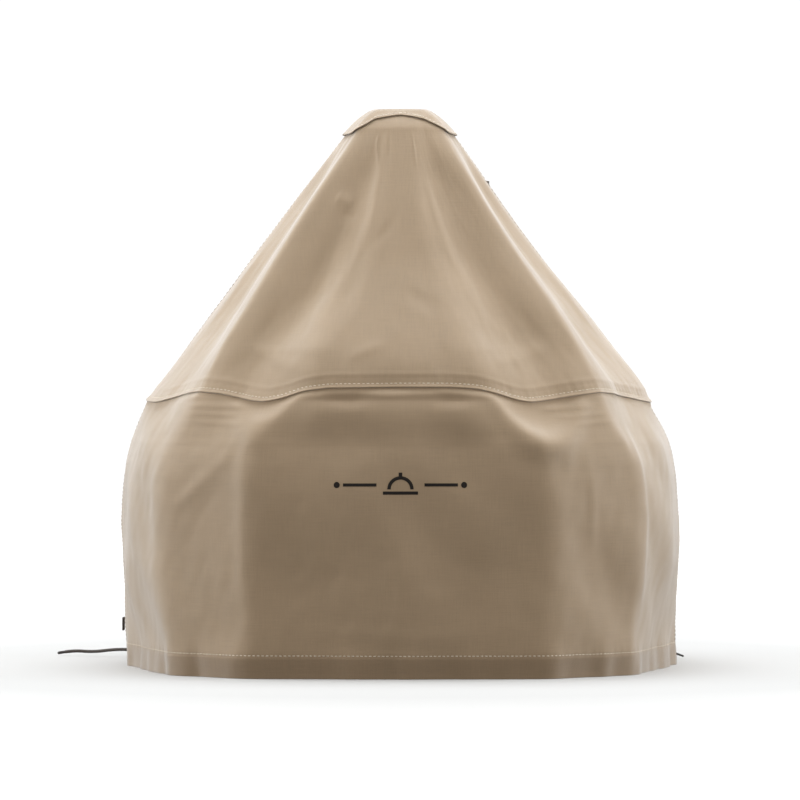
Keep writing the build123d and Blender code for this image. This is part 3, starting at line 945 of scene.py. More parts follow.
class Bench:
    """Where a material, or the studio's surround, is put together from its nodes."""

    def __init__(self, owner: bpy.types.Material | bpy.types.World) -> None:
        """Empties the tree of a material or a world.

        Args:
            owner: The material or world that the nodes are for.
        """
        self.owner = owner
        owner.use_nodes = True
        self.tree = owner.node_tree
        self.tree.nodes.clear()

    def node(self, kind: str, settings: dict[str, Any] | None = None, inputs: dict[Any, Any] | None = None,
             out: Any = 0) -> Wire:
        """Adds a node, sets it up, and feeds its sockets.

        Args:
            kind: The node's type.
            settings: Its own settings, which are set first.
            inputs: Values or wires, by socket name or number.
            out: Which of its outputs is wanted.

        Returns:
            The wanted output, or an empty wire where the node has none.
        """
        made = self.tree.nodes.new(kind)
        for key, value in (settings or {}).items():
            if key == "stops":
                ramp = made.color_ramp
                while len(ramp.elements) < len(value):
                    ramp.elements.new(0.5)
                for stop, (place, colour) in zip(ramp.elements, value):
                    stop.position = place
                    stop.color = colour
            else:
                setattr(made, key, value)
        for key, value in (inputs or {}).items():
            if isinstance(value, Wire):
                self.tree.links.new(value.socket, made.inputs[key])
            else:
                made.inputs[key].default_value = value
        return Wire(self, made.outputs[out] if len(made.outputs) else None)

    def maths(self, operation: str, first: Any, second: Any = 0.0) -> Wire:
        """One step of arithmetic on numbers."""
        return self.node("ShaderNodeMath", {"operation": operation}, {0: first, 1: second})

    def blend(self, share: Any, first: Any, second: Any, way: str = "MIX") -> Wire:
        """Mix of two colours by a share."""
        return self.node("ShaderNodeMix", {"data_type": "RGBA", "blend_type": way},
                         {0: share, 6: first, 7: second}, 2)

    def noise(self, place: Wire, scale: float, detail: float = 3.0) -> Wire:
        """Even noise from 0 to 1 at a place."""
        return self.node("ShaderNodeTexNoise", {}, {"Vector": place, "Scale": scale, "Detail": detail})

    def stretched(self, place: Wire, scale: tuple[float, float, float]) -> Wire:
        """A place scaled differently each way."""
        return self.node("ShaderNodeVectorMath", {"operation": "MULTIPLY"}, {0: place, 1: scale})

    def level(self, value: Any, low: float, high: float, to_low: float = 0.0, to_high: float = 1.0) -> Wire:
        """A number moved from one range to another, held at its ends."""
        ends = {"From Min": low, "From Max": high, "To Min": to_low, "To Max": to_high}
        return self.node("ShaderNodeMapRange", {"clamp": True}, {"Value": value, **ends})

    def finish(self, colour: Any, roughness: Any, relief: Wire | None = None, depth: float = 0.0001,
               strength: float = 0.4, **fixed: Any) -> bpy.types.Material:
        """Joins everything to the surface and hands over the material.

        Args:
            colour: Base colour.
            roughness: Roughness.
            relief: Height of the fine relief, from 0 to 1.
            depth: How deep that relief is, in metres.
            strength: How strongly it shows.
            fixed: Sockets that are the same all over, by name with _ for a space.

        Returns:
            The finished material.
        """
        inputs = {"Base Color": colour, "Roughness": roughness}
        if relief is not None:
            inputs["Normal"] = self.node("ShaderNodeBump", {},
                                         {"Strength": strength, "Distance": depth, "Height": relief})
        inputs.update({key.replace("_", " "): value for key, value in fixed.items()})
        shader = self.node("ShaderNodeBsdfPrincipled", {}, inputs)
        self.node("ShaderNodeOutputMaterial", {}, {"Surface": shader})
        return self.owner


def rgba(colour: Sequence[float], share: float = 1.0) -> tuple[float, float, float, float]:
    """A colour with its opacity, made lighter or darker by a share."""
    return (colour[0] * share, colour[1] * share, colour[2] * share, 1.0)


@dataclass(frozen=True)
class Canvas:
    """Coated khaki canvas with uneven yarns, and painted shade on its lowest band, where the hem turns under.
    """

    name: str = "canvas"
    colour: tuple[float, float, float] = (0.292, 0.206, 0.124)
    sheen: float = 0.6
    rib: float = 0.0011
    yarn_scale: tuple[float, float] = (620.0, 34.0)
    # colour factor of the painted shade on the hem band
    hem_painted_shade: tuple[float, float, float] = (0.80, 0.78, 0.76)
    hem_top: tuple[float, float] = (0.024, 0.034)

    def make(self) -> bpy.types.Material:
        """Makes the finish.

        Returns:
            The finished material.
        """
        bench = Bench(bpy.data.materials.new(self.name))
        place = bench.node("ShaderNodeTexCoord", out="UV")
        fine, coarse = self.yarn_scale
        warp = bench.noise(bench.stretched(place, (fine, coarse, 1.0)), 1.0, 2.0)
        weft = bench.noise(bench.stretched(place, (coarse, fine, 1.0)), 1.0, 2.0)
        cloud = bench.noise(place, 9.0, 4.0)
        speck = bench.noise(place, 850.0, 1.0)
        yarn = warp * 0.5 + weft * 0.5
        split = bench.node("ShaderNodeSeparateXYZ", {}, {0: place})
        across = split.other(1)
        turn = 2.0 * math.pi / self.rib
        ribs = bench.maths("SINE", split * turn)
        bars = bench.maths("SINE", across * turn)
        weave = ribs * bars * 0.5 + 0.5
        tone = bench.level(yarn, 0.3, 0.7)
        shade = bench.blend(tone, rgba(self.colour, 0.93), rgba(self.colour, 1.07))
        drift = bench.blend(bench.level(cloud, 0.35, 0.65),
                            rgba((0.965, 0.965, 0.96)), rgba((1.03, 1.03, 1.035)))
        shade = bench.blend(1.0, shade, drift, "MULTIPLY")
        # painted shade: cloth below 24 mm on the flat cloth (skirt hem and casing) is darkened to about 0.8,
        # fading out by 34 mm, standing in for the shade on the hem band
        above_hem = bench.level(across, *self.hem_top)
        painted_hem_shade = bench.blend(above_hem, rgba(self.hem_painted_shade), rgba((1.0, 1.0, 1.0)))
        shade = bench.blend(1.0, shade, painted_hem_shade, "MULTIPLY")
        relief = weave * 0.35 + yarn * 0.8 + speck * 0.25
        return bench.finish(shade, bench.level(yarn, 0.3, 0.7, 0.74, 0.86), relief, 0.00035, 0.45,
                            Sheen_Weight=self.sheen, Sheen_Roughness=0.45, Specular_IOR_Level=0.35)


@dataclass(frozen=True)
class Yarn:
    """Twisted or woven yarn: thread, binding tape, webbing, cord sheath or label cloth."""

    name: str
    colour: tuple[float, float, float]
    pitch: float
    roughness: float = 0.8
    sheen: float = 0.2
    twill: bool = True

    def make(self) -> bpy.types.Material:
        """Makes the finish.

        Returns:
            The finished material.
        """
        bench = Bench(bpy.data.materials.new(self.name))
        place = bench.node("ShaderNodeTexCoord", out="Object")
        split = bench.node("ShaderNodeSeparateXYZ", {}, {0: place})
        deep, tall = split.other(1), split.other(2)
        turn = 2.0 * math.pi / self.pitch
        one = bench.maths("SINE", (split + deep + tall) * turn)
        other = bench.maths("SINE", (split + deep - tall) * turn)
        strands = (one if self.twill else one * other) * 0.5 + 0.5
        fuzz = bench.noise(place, 0.6 / self.pitch, 4.0)
        shade = bench.blend(bench.level(strands * 0.6 + fuzz * 0.4, 0.2, 0.8),
                            rgba(self.colour, 0.78), rgba(self.colour, 1.18))
        rough = bench.level(fuzz, 0.3, 0.7, self.roughness - 0.06, self.roughness + 0.06)
        return bench.finish(shade, rough, strands * 0.7 + fuzz * 0.3, 0.3 * self.pitch, 0.6,
                            Sheen_Weight=self.sheen, Sheen_Roughness=0.5)


@dataclass(frozen=True)
class Moulded:
    """Moulded or heat-sealed plastic with a fine spark finish."""

    name: str
    colour: tuple[float, float, float]
    roughness: float = 0.42

    def make(self) -> bpy.types.Material:
        """Makes the finish.

        Returns:
            The finished material.
        """
        bench = Bench(bpy.data.materials.new(self.name))
        place = bench.node("ShaderNodeTexCoord", out="Object")
        grain = bench.noise(place, 2600.0, 2.0)
        handling = bench.noise(place, 160.0, 3.0)
        shade = bench.blend(bench.level(handling, 0.4, 0.7), rgba(self.colour), rgba(self.colour, 1.25))
        rough = bench.level(handling, 0.3, 0.7, self.roughness - 0.07, self.roughness + 0.1)
        return bench.finish(shade, rough, grain, 0.00004, 0.35)


@dataclass(frozen=True)
class Metal:
    """Painted or drawn metal."""

    name: str
    colour: tuple[float, float, float]
    roughness: float
    metallic: float

    def make(self) -> bpy.types.Material:
        """Makes the finish.

        Returns:
            The finished material.
        """
        bench = Bench(bpy.data.materials.new(self.name))
        place = bench.node("ShaderNodeTexCoord", out="Object")
        grain = bench.noise(place, 900.0, 3.0)
        worn = bench.noise(place, 240.0, 4.0)
        shade = bench.blend(bench.level(worn, 0.58, 0.72), rgba(self.colour), rgba(self.colour, 1.7))
        rough = bench.level(grain, 0.3, 0.7, self.roughness - 0.06, self.roughness + 0.08)
        return bench.finish(shade, rough, grain, 0.00003, 0.3, Metallic=self.metallic)


@dataclass(frozen=True)
class Ink:
    """Dark print that lets a little of the weave through."""

    name: str = "print_ink"
    colour: tuple[float, float, float] = (0.012, 0.009, 0.007)

    def make(self) -> bpy.types.Material:
        """Makes the finish.

        Returns:
            The finished material.
        """
        bench = Bench(bpy.data.materials.new(self.name))
        place = bench.node("ShaderNodeTexCoord", out="Object")
        speck = bench.noise(place, 900.0, 2.0)
        shade = bench.blend(bench.level(speck, 0.6, 0.75), rgba(self.colour), rgba(self.colour, 2.4))
        return bench.finish(shade, bench.level(speck, 0.3, 0.7, 0.6, 0.75), speck, 0.00015, 0.4,
                            Specular_IOR_Level=0.12)


@dataclass(frozen=True)
class Ground:
    """Plain pale floor that brightens from near, a distance and its glow, to far."""

    name: str = "ground"
    colour: tuple[float, float, float] = (0.475, 0.46, 0.44)
    near: tuple[float, float] = (0.7, 0.09)
    far: tuple[float, float] = (2.6, 0.95)

    def make(self) -> bpy.types.Material:
        """Makes the finish.

        Returns:
            The finished material.
        """
        bench = Bench(bpy.data.materials.new(self.name))
        away = bench.node("ShaderNodeVectorMath", {"operation": "LENGTH"},
                          {0: bench.node("ShaderNodeTexCoord", out="Object")}, 1)
        white = (1.0, 1.0, 1.0)
        glow = bench.blend(bench.level(away, self.near[0], self.far[0]),
                           rgba(white, self.near[1]), rgba(white, self.far[1]))
        return bench.finish(rgba(self.colour), 0.7, Specular_IOR_Level=0.2,
                            Emission_Color=glow, Emission_Strength=1.0)


@dataclass
class Finishes:
    """Every finish of the cover, made once, under the record's slot names."""

    made: dict[str, bpy.types.Material] = field(default_factory=dict)

    def __post_init__(self) -> None:
        """Makes the finishes."""
        for finish in (
            Canvas(),
            Yarn("binding", (0.235, 0.170, 0.110), 0.0016),
            Yarn("thread", (0.62, 0.53, 0.41), 0.0009, 0.7),
            Metal("eyelet_metal", (0.045, 0.034, 0.026), 0.38, 0.6),
            Yarn("cord", (0.036, 0.023, 0.014), 0.0024, 0.72, 0.3, False),
            Moulded("cord_tip", (0.018, 0.012, 0.009), 0.36),
            Moulded("lock_plastic", (0.022, 0.019, 0.016)),
            Metal("spring_steel", (0.55, 0.55, 0.56), 0.28, 1.0),
            Yarn("webbing", (0.042, 0.026, 0.016), 0.0018, 0.78, 0.3),
            Yarn("label", (0.80, 0.78, 0.72), 0.0007, 0.6),
            Ink(),
            Ground(),
        ):
            self.made[finish.name] = finish.make()

    def dress(self, piece: bpy.types.Object, slot: str) -> None:
        """Gives a new piece one finish and names its slot.

        Args:
            piece: The piece.
            slot: The slot's name, which is the finish's own.
        """
        piece.data.materials.clear()
        piece.data.materials.append(self.made[slot])

    def repaint(self, node: str, slot: str) -> None:
        """Gives a carried-over solid one of the finishes."""
        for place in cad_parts[node].material_slots:
            place.material = self.made[slot]


# ---- The cover's sub-assemblies -------------------------------------------------------------


def settle(piece: bpy.types.Object, *nodes: str) -> bpy.types.Object:
    """Makes a piece ride on the cover and stand for the solids that it replaces.

    Args:
        piece: The piece.
        nodes: Names of those solids, if any.

    Returns:
        The same piece.
    """
    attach(piece, COVER)
    if nodes:
        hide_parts(*nodes)
    log.info("%s made", piece.name)
    return piece


@dataclass
class Drawcord:
    """The cord in the hem, its two free tails, and the lock on the long one."""

    finishes: Finishes
    radius: float = 2.25
    level: float = 10.5
    channel: float = 293.0
    bend: float = 10.0
    turn_in: float = 16.0
    left_length: float = 122.5
    left_angle: float = 157.7
    right_angle: float = 14.1
    spring_turns: float = 2.5
    spring_base: float = 4.1
    spring_top: float = 2.2
    spring_wire: float = 0.25
    spring_pressed: float = 0.27
    left_route: tuple[tuple[float, float, float], ...] = (
        (0, 0, 0), (25, 0, 0), (50, 0, -0.4), (82, 3, -4.6), (109, -2, -3.0), (121.5, -4.5, -5.0),
    )
    right_route: tuple[tuple[float, float, float], ...] = ((0, 0, 0), (5.5, 0, 0), (11, -0.4, -2.0))

    def tail(self, hand: Hand) -> list[Vector]:
        """Control points of one free tail, in metres.

        Args:
            hand: Which side the tail leaves on.

        Returns:
            The points, from the way out to the tip.
        """
        angle = math.radians(180.0 - self.left_angle if hand is Hand.LEFT else self.right_angle)
        side = float(hand.value)
        out = Vector((side * math.cos(angle), math.sin(angle), 0.0))
        rear = Vector((-side * math.sin(angle), math.cos(angle), 0.0))
        corner = Vector((side * TURN.flat_x, TURN.flat_y, self.level))
        start = corner + out * (self.channel + self.bend) + rear * self.bend
        route = self.left_route if hand is Hand.LEFT else self.right_route
        return [(start + out * a + rear * r + Vector((0, 0, u))) * MM for a, r, u in route]

    def way_in(self, hand: Hand) -> list[Vector]:
        """Control points of the bend from an eyelet into the hem.

        Args:
            hand: Which side's eyelet.

        Returns:
            The points, in metres, from the eyelet inwards.
        """
        start, following = self.tail(hand)[:2]
        out = (following - start).normalized()
        rear = Vector((-hand.value * out.y, hand.value * out.x, 0.0))
        return [start, start - out * self.bend * MM, start - (out + rear) * self.bend * MM]

    def hidden(self) -> list[Vector]:
        """Control points of the run inside the hem, from the left tail to the right.

        Returns:
            The points, in metres.
        """
        left_end = TURN.side + TURN.flat_y + TURN.radius * math.radians(180.0 - self.left_angle)
        right_end = TURN.side + TURN.flat_y + TURN.radius * math.radians(self.right_angle)
        s = np.linspace(-left_end + self.turn_in, right_end - self.turn_in, 76)
        points = SKIRT.place(s, np.full_like(s, self.level), -(TURN.radius - 2.0 - self.channel)) * MM
        return self.way_in(Hand.LEFT) + [Vector(point) for point in points] + self.way_in(Hand.RIGHT)[::-1]

    def spring(self) -> bpy.types.Object:
        """The lock's tapering spring, made at rest only; the real one flattens as the plunger is pressed.

        Returns:
            The spring.
        """
        low, high = (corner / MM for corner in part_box("lock_spring"))
        middle = sum(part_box("lock_barrel"), Vector()) / (2.0 * MM)
        turn = np.linspace(0.0, 2.0 * math.pi * self.spring_turns, 90)
        share = turn / turn[-1]
        radius = self.spring_base + (self.spring_top - self.spring_base) * share
        level = low.z + self.spring_wire + (high.z - low.z - 2.0 * self.spring_wire) * share
        thick = self.spring_wire * np.minimum(1.0, 0.05 + 40.0 * np.minimum(share, 1.0 - share))
        around = np.linspace(0.0, 2.0 * math.pi, 9)[:-1]
        reach = radius[:, None] + thick[:, None] * np.cos(around)
        points = np.stack((middle.x + reach * np.cos(turn)[:, None], middle.y + reach * np.sin(turn)[:, None],
                           level[:, None] + thick[:, None] * np.sin(around)), -1)
        piece = make_object("spring_coil", points.reshape(-1, 3), grid_faces(len(turn), len(around), True))
        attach(piece, "lock")
        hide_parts("lock_spring")
        self.finishes.dress(piece, "spring_steel")
        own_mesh(piece)
        return piece

    def build(self) -> None:
        for hand in Hand:
            word = hand.name.lower()
            points = self.tail(hand)
            tail = settle(line(f"tail_{word}", points, self.radius * MM), f"cord_tail_{word}")
            self.finishes.dress(tail, "cord")
            self.finishes.repaint(f"cord_tip_{word}", "cord_tip")
            if hand is Hand.LEFT:      # the right end is a sewn-down stub, too short to be a free cord
                on_it = [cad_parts[name] for name in ("cord_tip_left", "lock_barrel", "lock_plunger")]
                on_it.append(self.spring())
                tuple(points[0])
                2 * self.radius * MM
        run = settle(line("cord_in_hem", self.hidden(), self.radius * MM), "drawcord")
        self.finishes.dress(run, "cord")
        for name in ("lock_barrel", "lock_plunger"):
            self.finishes.repaint(name, "lock_plastic")
        for name in ("eyelet_left", "eyelet_right", "eyelet_washer_left", "eyelet_washer_right"):
            self.finishes.repaint(name, "eyelet_metal")
        log.info("drawcord, tails, lock and eyelets dressed")


@dataclass
class Panels:
    """The cloth panels: skirt, cone and cap, with the hem's casing and the seam tapes."""

    finishes: Finishes
    step: float = 4.3
    cloth_thickness: float = 0.9
    casing_thickness: float = 0.6
    tape: float = 11.0
    tape_thickness: float = 0.7
    side_tape_thickness: float = 0.6
    hole: float = 6.6
    cap_top: float = 729.8

    def span(self, half: Half) -> np.ndarray:
        """Distances round the cover of a half panel's columns, closer at the eyelets.

        Args:
            half: Front or back.

        Returns:
            The distances, from one side seam to the other.
        """
        count = int(2 * TURN.side / self.step)
        offset = np.linspace(-TURN.side, TURN.side, count)
        if half is Half.FRONT:
            return offset
        close = [spot % (4.0 * TURN.side) + np.arange(-14.0, 14.1, 1.0) for spot in EYELETS]
        return np.unique(np.concatenate((2.0 * TURN.side + offset, *close)))

    def wrap(self, s: np.ndarray) -> np.ndarray:
        """The same distances, kept within half a turn of the front."""
        whole = 4.0 * TURN.side
        return (s + whole / 2.0) % whole - whole / 2.0

    def skirt_levels(self) -> np.ndarray:
        """Levels of the skirt's rows, closer at the hem and the yoke.

        Returns:
            The levels, from the hem upwards.
        """
        return np.concatenate((
            np.arange(0.0, 25.0, 1.25), np.arange(25.5, 35.0, 1.3),
            np.arange(36.5, 290.0, 4.4), np.arange(291.0, 364.0, 2.2),
        ))

    def skirt(self) -> None:
        """Makes the two skirt panels."""
        levels = self.skirt_levels()
        middles = [sum(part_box(f"eyelet_{hand.name.lower()}"), Vector()) / 2.0 for hand in Hand]
        punched = [(middle, self.hole) for middle in middles]
        for half in Half:
            s = self.span(half)
            turn = self.wrap(s)
            stretch = (YOKE.at(turn) + 12.0 - 362.0)[None, :]
            z = levels[:, None] + stretch * ease(levels, 300.0, 362.0)[:, None]
            points = SKIRT.place(np.broadcast_to(turn, z.shape), z)
            flat = np.stack((np.broadcast_to(s, z.shape), z), -1) * MM
            sheet = cloth(f"skirt_{half.value}_cloth", points, flat, self.cloth_thickness, holes=punched)
            piece = settle(sheet, f"skirt_{half.value}")
            self.finishes.dress(piece, "canvas")
            self.casing(half, s, turn)

    def casing(self, half: Half, s: np.ndarray, turn: np.ndarray) -> None:
        """Makes one half of the turned edge that the cord runs in.

        Args:
            half: Front or back.
            s: Distance round the cover of its columns.
            turn: The same, within half a turn of the front.
        """
        section = ((0.4, -1.1), (0.3, -2.6), (0.5, -4.6), (0.7, -6.6), (1.6, -8.0), (4.0, -8.6), (9.0, -8.7),
                   (15.0, -8.2), (21.0, -6.6), (26.0, -3.4), (28.5, -1.5), (31.5, -1.2))
        rows = [SKIRT.place(turn, np.full_like(turn, z), lift) for z, lift in section]
        flat = np.stack([np.stack((s, np.full_like(s, 3.0 * k)), -1) for k in range(len(section))]) * MM
        points = np.stack(rows)[::-1]
        sheet = cloth(f"casing_{half.value}_cloth", points, flat, self.casing_thickness)
        piece = settle(sheet, f"hem_casing_{half.value}")
        self.finishes.dress(piece, "canvas")

    def cone(self) -> None:
        """Makes the two cone panels."""
        for half in Half:
            s = self.span(half)
            turn = self.wrap(s)
            low, high = YOKE.at(turn), LIP.at(turn) + 6.0
            share = np.concatenate((
                [0.0, 0.003, 0.007, 0.012], np.arange(0.018, 0.07, 0.006), np.linspace(0.076, 1.0, 96),
            ))
            z = low[None, :] + (high - low)[None, :] * share[:, None]
            points = CONE.place(np.broadcast_to(turn, z.shape), z)
            width = CONE.plan(z)[2] / TURN.radius
            middle = 0.0 if half is Half.FRONT else 2.0 * TURN.side
            flat = np.stack((middle + (s - middle)[None, :] * width, 1.25 * z), -1) * MM
            sheet = cloth(f"cone_{half.value}_cloth", points, flat, self.cloth_thickness)
            piece = settle(sheet, f"cone_{half.value}")
            self.finishes.dress(piece, "canvas")

    def cap(self) -> None:
        """Makes the cap, its crown closed at the top."""
        s = np.linspace(-2.0 * TURN.side, 2.0 * TURN.side, 281)[:-1]
        lip = LIP.at(s)
        top = self.cap_top
        share = np.concatenate(([0.0, 0.03, 0.07, 0.12], np.linspace(0.2, 1.0, 12)))
        z = lip[None, :] + (top - lip)[None, :] * share[:, None]
        rows = list(CAP.place(np.broadcast_to(s, z.shape), z))
        rim = rows[-1]
        middle = np.array([rim[:, 0].mean(), rim[:, 1].mean(), top])
        dip = 0.6 * np.sin(np.arctan2(rim[:, 1] - middle[1], rim[:, 0] - middle[0]) * 2.0 + 0.7)
        for size in (0.82, 0.6, 0.38, 0.18, 0.04):
            ring = middle + (rim - middle) * size
            ring[:, 2] = top + 0.5 * (1.0 - size) + dip * size * (1.0 - size)
            rows.append(ring)
        points = np.stack(rows)
        flat = np.stack((points[..., 0], points[..., 1] + 0.9 * points[..., 2]), -1) * MM
        piece = settle(cloth("cap_cloth", points, flat, self.cloth_thickness, True), "top_cap")
        self.finishes.dress(piece, "canvas")

    def tapes(self) -> None:
        """Makes the binding tapes inside the seams."""
        s = np.linspace(-2.0 * TURN.side, 2.0 * TURN.side, 361)[:-1]
        yoke, lip = YOKE.at(s), LIP.at(s)
        flat = np.stack([np.stack((s, np.full_like(s, 4.0 * k)), -1) for k in range(4)]) * MM
        under_yoke = [SKIRT.place(s, yoke - drop, -1.7) for drop in (11.0, 7.0, 3.5, 0.5)]
        under_lip = [CONE.place(s, lip + rise, -1.4) for rise in (-4.0, -1.0, 2.0, 5.0)]
        for part, rows in (("yoke", under_yoke), ("cap", under_lip)):
            tape = cloth(f"{part}_tape", np.stack(rows), flat, self.tape_thickness, True)
            self.finishes.dress(settle(tape, f"{part}_seam_tape"), "binding")
        width = np.linspace(-self.tape / 2, self.tape / 2, 6)
        for hand in Hand:
            word = hand.name.lower()
            for part, surface, low, high in (("skirt", SKIRT, 33.0, 338.0), ("cone", CONE, 364.0, 692.0)):
                z, across = np.meshgrid(np.linspace(low, high, 80), width, indexing="ij")
                points = surface.place(hand.value * TURN.side + across, z, -1.4)
                flat = np.stack((across, z), -1) * MM
                tape = cloth(f"{part}_tape_{word}", points, flat, self.side_tape_thickness)
                self.finishes.dress(settle(tape, f"{part}_seam_tape_{word}"), "binding")

    def build(self) -> None:
        """Makes all the cloth."""
        self.skirt()
        self.cone()
        self.cap()
        self.tapes()


@dataclass
class Stitching:
    """Every visible row of stitches."""

    finishes: Finishes
    pitch: float = 5.4
    size: tuple[float, float, float] = (3.7, 1.1, 0.6)
    bar_size: tuple[float, float, float] = (3.2, 0.9, 0.6)
    bar_inside: float = 22.0

    def round_row(self, name: str, surface: Surface, level: Callable[[np.ndarray], np.ndarray],
                  scale: float, node: str) -> None:
        """Makes one row that runs right round the cover.

        Args:
            name: The piece's name.
            surface: The cloth that it lies on.
            level: Level of the row at each distance round the cover.
            scale: How much smaller the cover is round here than at its widest.
            node: The solid that the row stands for.
        """
        count = int(4.0 * TURN.side * scale / self.pitch)
        s = np.linspace(-2.0 * TURN.side, 2.0 * TURN.side, count, endpoint=False)
        row = stitches(name, surface, s, level(s), 0.0, self.size)
        self.finishes.dress(settle(row, node), "thread")

    def side_rows(self) -> None:
        """Makes the two rows that hold each side seam, on skirt and cone."""
        for hand in Hand:
            for part, surface, low, high in (("skirt", SKIRT, 34.0, 338.0), ("cone", CONE, 372.0, 690.0)):
                for row, offset in enumerate((-3.6, 2.4)):
                    z = np.arange(low, high, self.pitch)
                    shrink = 1.0 if part == "skirt" else TURN.radius / CONE.plan(z)[2]
                    s = hand.value * (TURN.side + offset * shrink)
                    s = np.broadcast_to(s, z.shape).astype(float)
                    name = f"{part}_seam_row_{hand.name.lower()}_{row}"
                    self.finishes.dress(settle(stitches(name, surface, s, z, 1.0, self.size)), "canvas")

    def build(self) -> None:
        """Makes all the rows."""
        self.round_row("hem_row", SKIRT, lambda s: np.full_like(s, 29.2), 1.0, "hem_stitching")
        self.round_row("yoke_row", CONE, lambda s: YOKE.at(s) + 4.8, 0.885, "yoke_stitching")
        self.round_row("cap_row", CAP, lambda s: LIP.at(s) + 2.6, 0.21, "cap_stitching")
        self.side_rows()
        z = np.linspace(6.2, 14.8, 11)
        place = np.full_like(z, EYELETS[1] - self.bar_inside)
        bar = stitches("anchor_bar", SKIRT, place, z, 0.0, self.bar_size)
        self.finishes.dress(settle(bar, "cord_anchor_stitch"), "thread")


@dataclass
class Trimmings:
    """The small sewn-on pieces: tab, hanging loop and label."""

    finishes: Finishes
    loop_thickness: float = 0.9
    tab_thickness: float = 0.8
    label_thickness: float = 0.3

    def strip(self, name: str, path: np.ndarray, low: float, high: float,
              thickness: float) -> bpy.types.Object:
        """A strip of webbing that stands on edge along a path seen from above.

        Args:
            name: The piece's name.
            path: Points of the path, x and y, in millimetres.
            low: Level of its lower edge.
            high: Level of its upper edge.
            thickness: Thickness of the webbing.

        Returns:
            The strip.
        """
        rows = np.linspace(low, high, 7)
        points = np.stack([np.column_stack((path, np.full(len(path), z))) for z in rows])
        run = np.concatenate(([0.0], np.cumsum(np.linalg.norm(np.diff(path, axis=0), axis=1))))
        flat = np.stack([np.column_stack((run, np.full(len(path), z))) for z in rows]) * MM
        return cloth(name, points, flat, thickness)

    def tab(self) -> None:
        """Makes the folded tab in the left side seam."""
        low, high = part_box("side_loop_tab")
        x0, x1 = low.x / MM, high.x / MM
        y0, y1 = low.y / MM, high.y / MM
        turn = np.linspace(-math.pi / 2, math.pi / 2, 9)
        middle, half = (x0 + x1) / 2, (x1 - x0) / 2
        rear = [(middle + half * math.sin(a), y1 - half + half * math.cos(a)) for a in turn]
        path = np.array([(x0, y0), (x0, (y0 + y1) / 2), *rear, (x1, (y0 + y1) / 2), (x1, y0)])
        piece = self.strip("tab_webbing", path[::-1], low.z / MM, high.z / MM, self.tab_thickness)
        self.finishes.dress(settle(piece, "side_loop_tab"), "webbing")

    def loop(self) -> None:
        """Makes the hanging loop behind the cone."""
        low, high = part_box("hang_loop")
        y0, y1 = low.y / MM, high.y / MM
        x0, x1 = low.x / MM - 2.0, high.x / MM - 3.2
        half = (y1 - y0) / 2
        turn = np.linspace(-math.pi / 2, math.pi / 2, 13)
        outer = [(x1 - half + half * math.cos(a), (y0 + y1) / 2 + half * math.sin(a)) for a in turn]
        run = np.linspace(x0, x1 - half, 8)[:-1]
        path = np.array([*((x, y0) for x in run), *outer, *((x, y1) for x in run[::-1])])
        piece = self.strip("loop_webbing", path, low.z / MM, high.z / MM, self.loop_thickness)
        self.finishes.dress(settle(piece, "hang_loop"), "webbing")

    def label(self) -> None:
        """Makes the blank label inside the back."""
        low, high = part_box("care_label")
        columns = np.linspace(low.x / MM, high.x / MM, 14)
        z, s = np.meshgrid(np.linspace(low.z / MM, high.z / MM, 18), columns, indexing="ij")
        turn = np.where(s < 0, -1.0, 1.0) * (2.0 * TURN.side - np.abs(s))
        points = SKIRT.place(turn, z, -1.4)
        points[..., 1] -= np.abs(0.6 * np.sin(s / 9.0) * ease(-z, -high.z / MM, -low.z / MM))
        flat = np.stack((s, z), -1) * MM
        piece = cloth("label_cloth", points[:, ::-1], flat[:, ::-1], self.label_thickness)
        self.finishes.dress(settle(piece, "care_label"), "label")

    def build(self) -> None:
        """Makes the small pieces."""
        self.tab()
        self.loop()
        self.label()


@dataclass
class Mark:
    """A plain printed ornament on the front: an arch between two rules and two dots."""

    finishes: Finishes
    level: float = 244.0
    lift: float = 0.28

    def lay(self, name: str, outer: np.ndarray, inner: np.ndarray) -> None:
        """Prints the strip between two lines on the skirt.

        Args:
            name: The piece's name.
            outer: Points of one line, distance from the middle and height over the level.
            inner: Points of the other line.
        """
        rows = np.stack([outer + (inner - outer) * share for share in np.linspace(0.0, 1.0, 4)])
        points = SKIRT.place(rows[..., 0], self.level + rows[..., 1], self.lift)
        count = len(outer)
        piece = make_object(name, points.reshape(-1, 3), grid_faces(4, count), (rows * MM).reshape(-1, 2))
        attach(piece, COVER)
        piece.data.materials.append(self.finishes.made["print_ink"])

    def build(self) -> None:
        """Prints the ornament."""
        turn = np.linspace(0.0, math.pi, 40)
        ring = np.column_stack((np.cos(turn), np.sin(turn)))
        self.lay("mark_arch", ring * 16.5 - (0, 6), ring * 12.2 - (0, 6))
        self.lay("mark_flue", np.array([(-2.3, 15.0), (2.3, 15.0)]), np.array([(-2.3, 9.4), (2.3, 9.4)]))
        self.lay("mark_hearth", np.column_stack((np.linspace(-22, 22, 14), np.full(14, -8.6))),
                 np.column_stack((np.linspace(-22, 22, 14), np.full(14, -12.7))))
        disc = np.column_stack((np.cos(turn * 2.0), np.sin(turn * 2.0)))
        for hand in Hand:
            word = hand.name.lower()
            run = hand.value * np.linspace(30.0, 72.0, 18)
            self.lay(f"mark_rule_{word}", np.column_stack((run, np.full(18, 1.5))),
                     np.column_stack((run, np.full(18, -2.5))))
            middle = np.array((hand.value * 80.0, -0.6))
            self.lay(f"mark_dot_{word}", middle + disc * 3.9, middle + disc * 0.05)
        log.info("ornament printed")


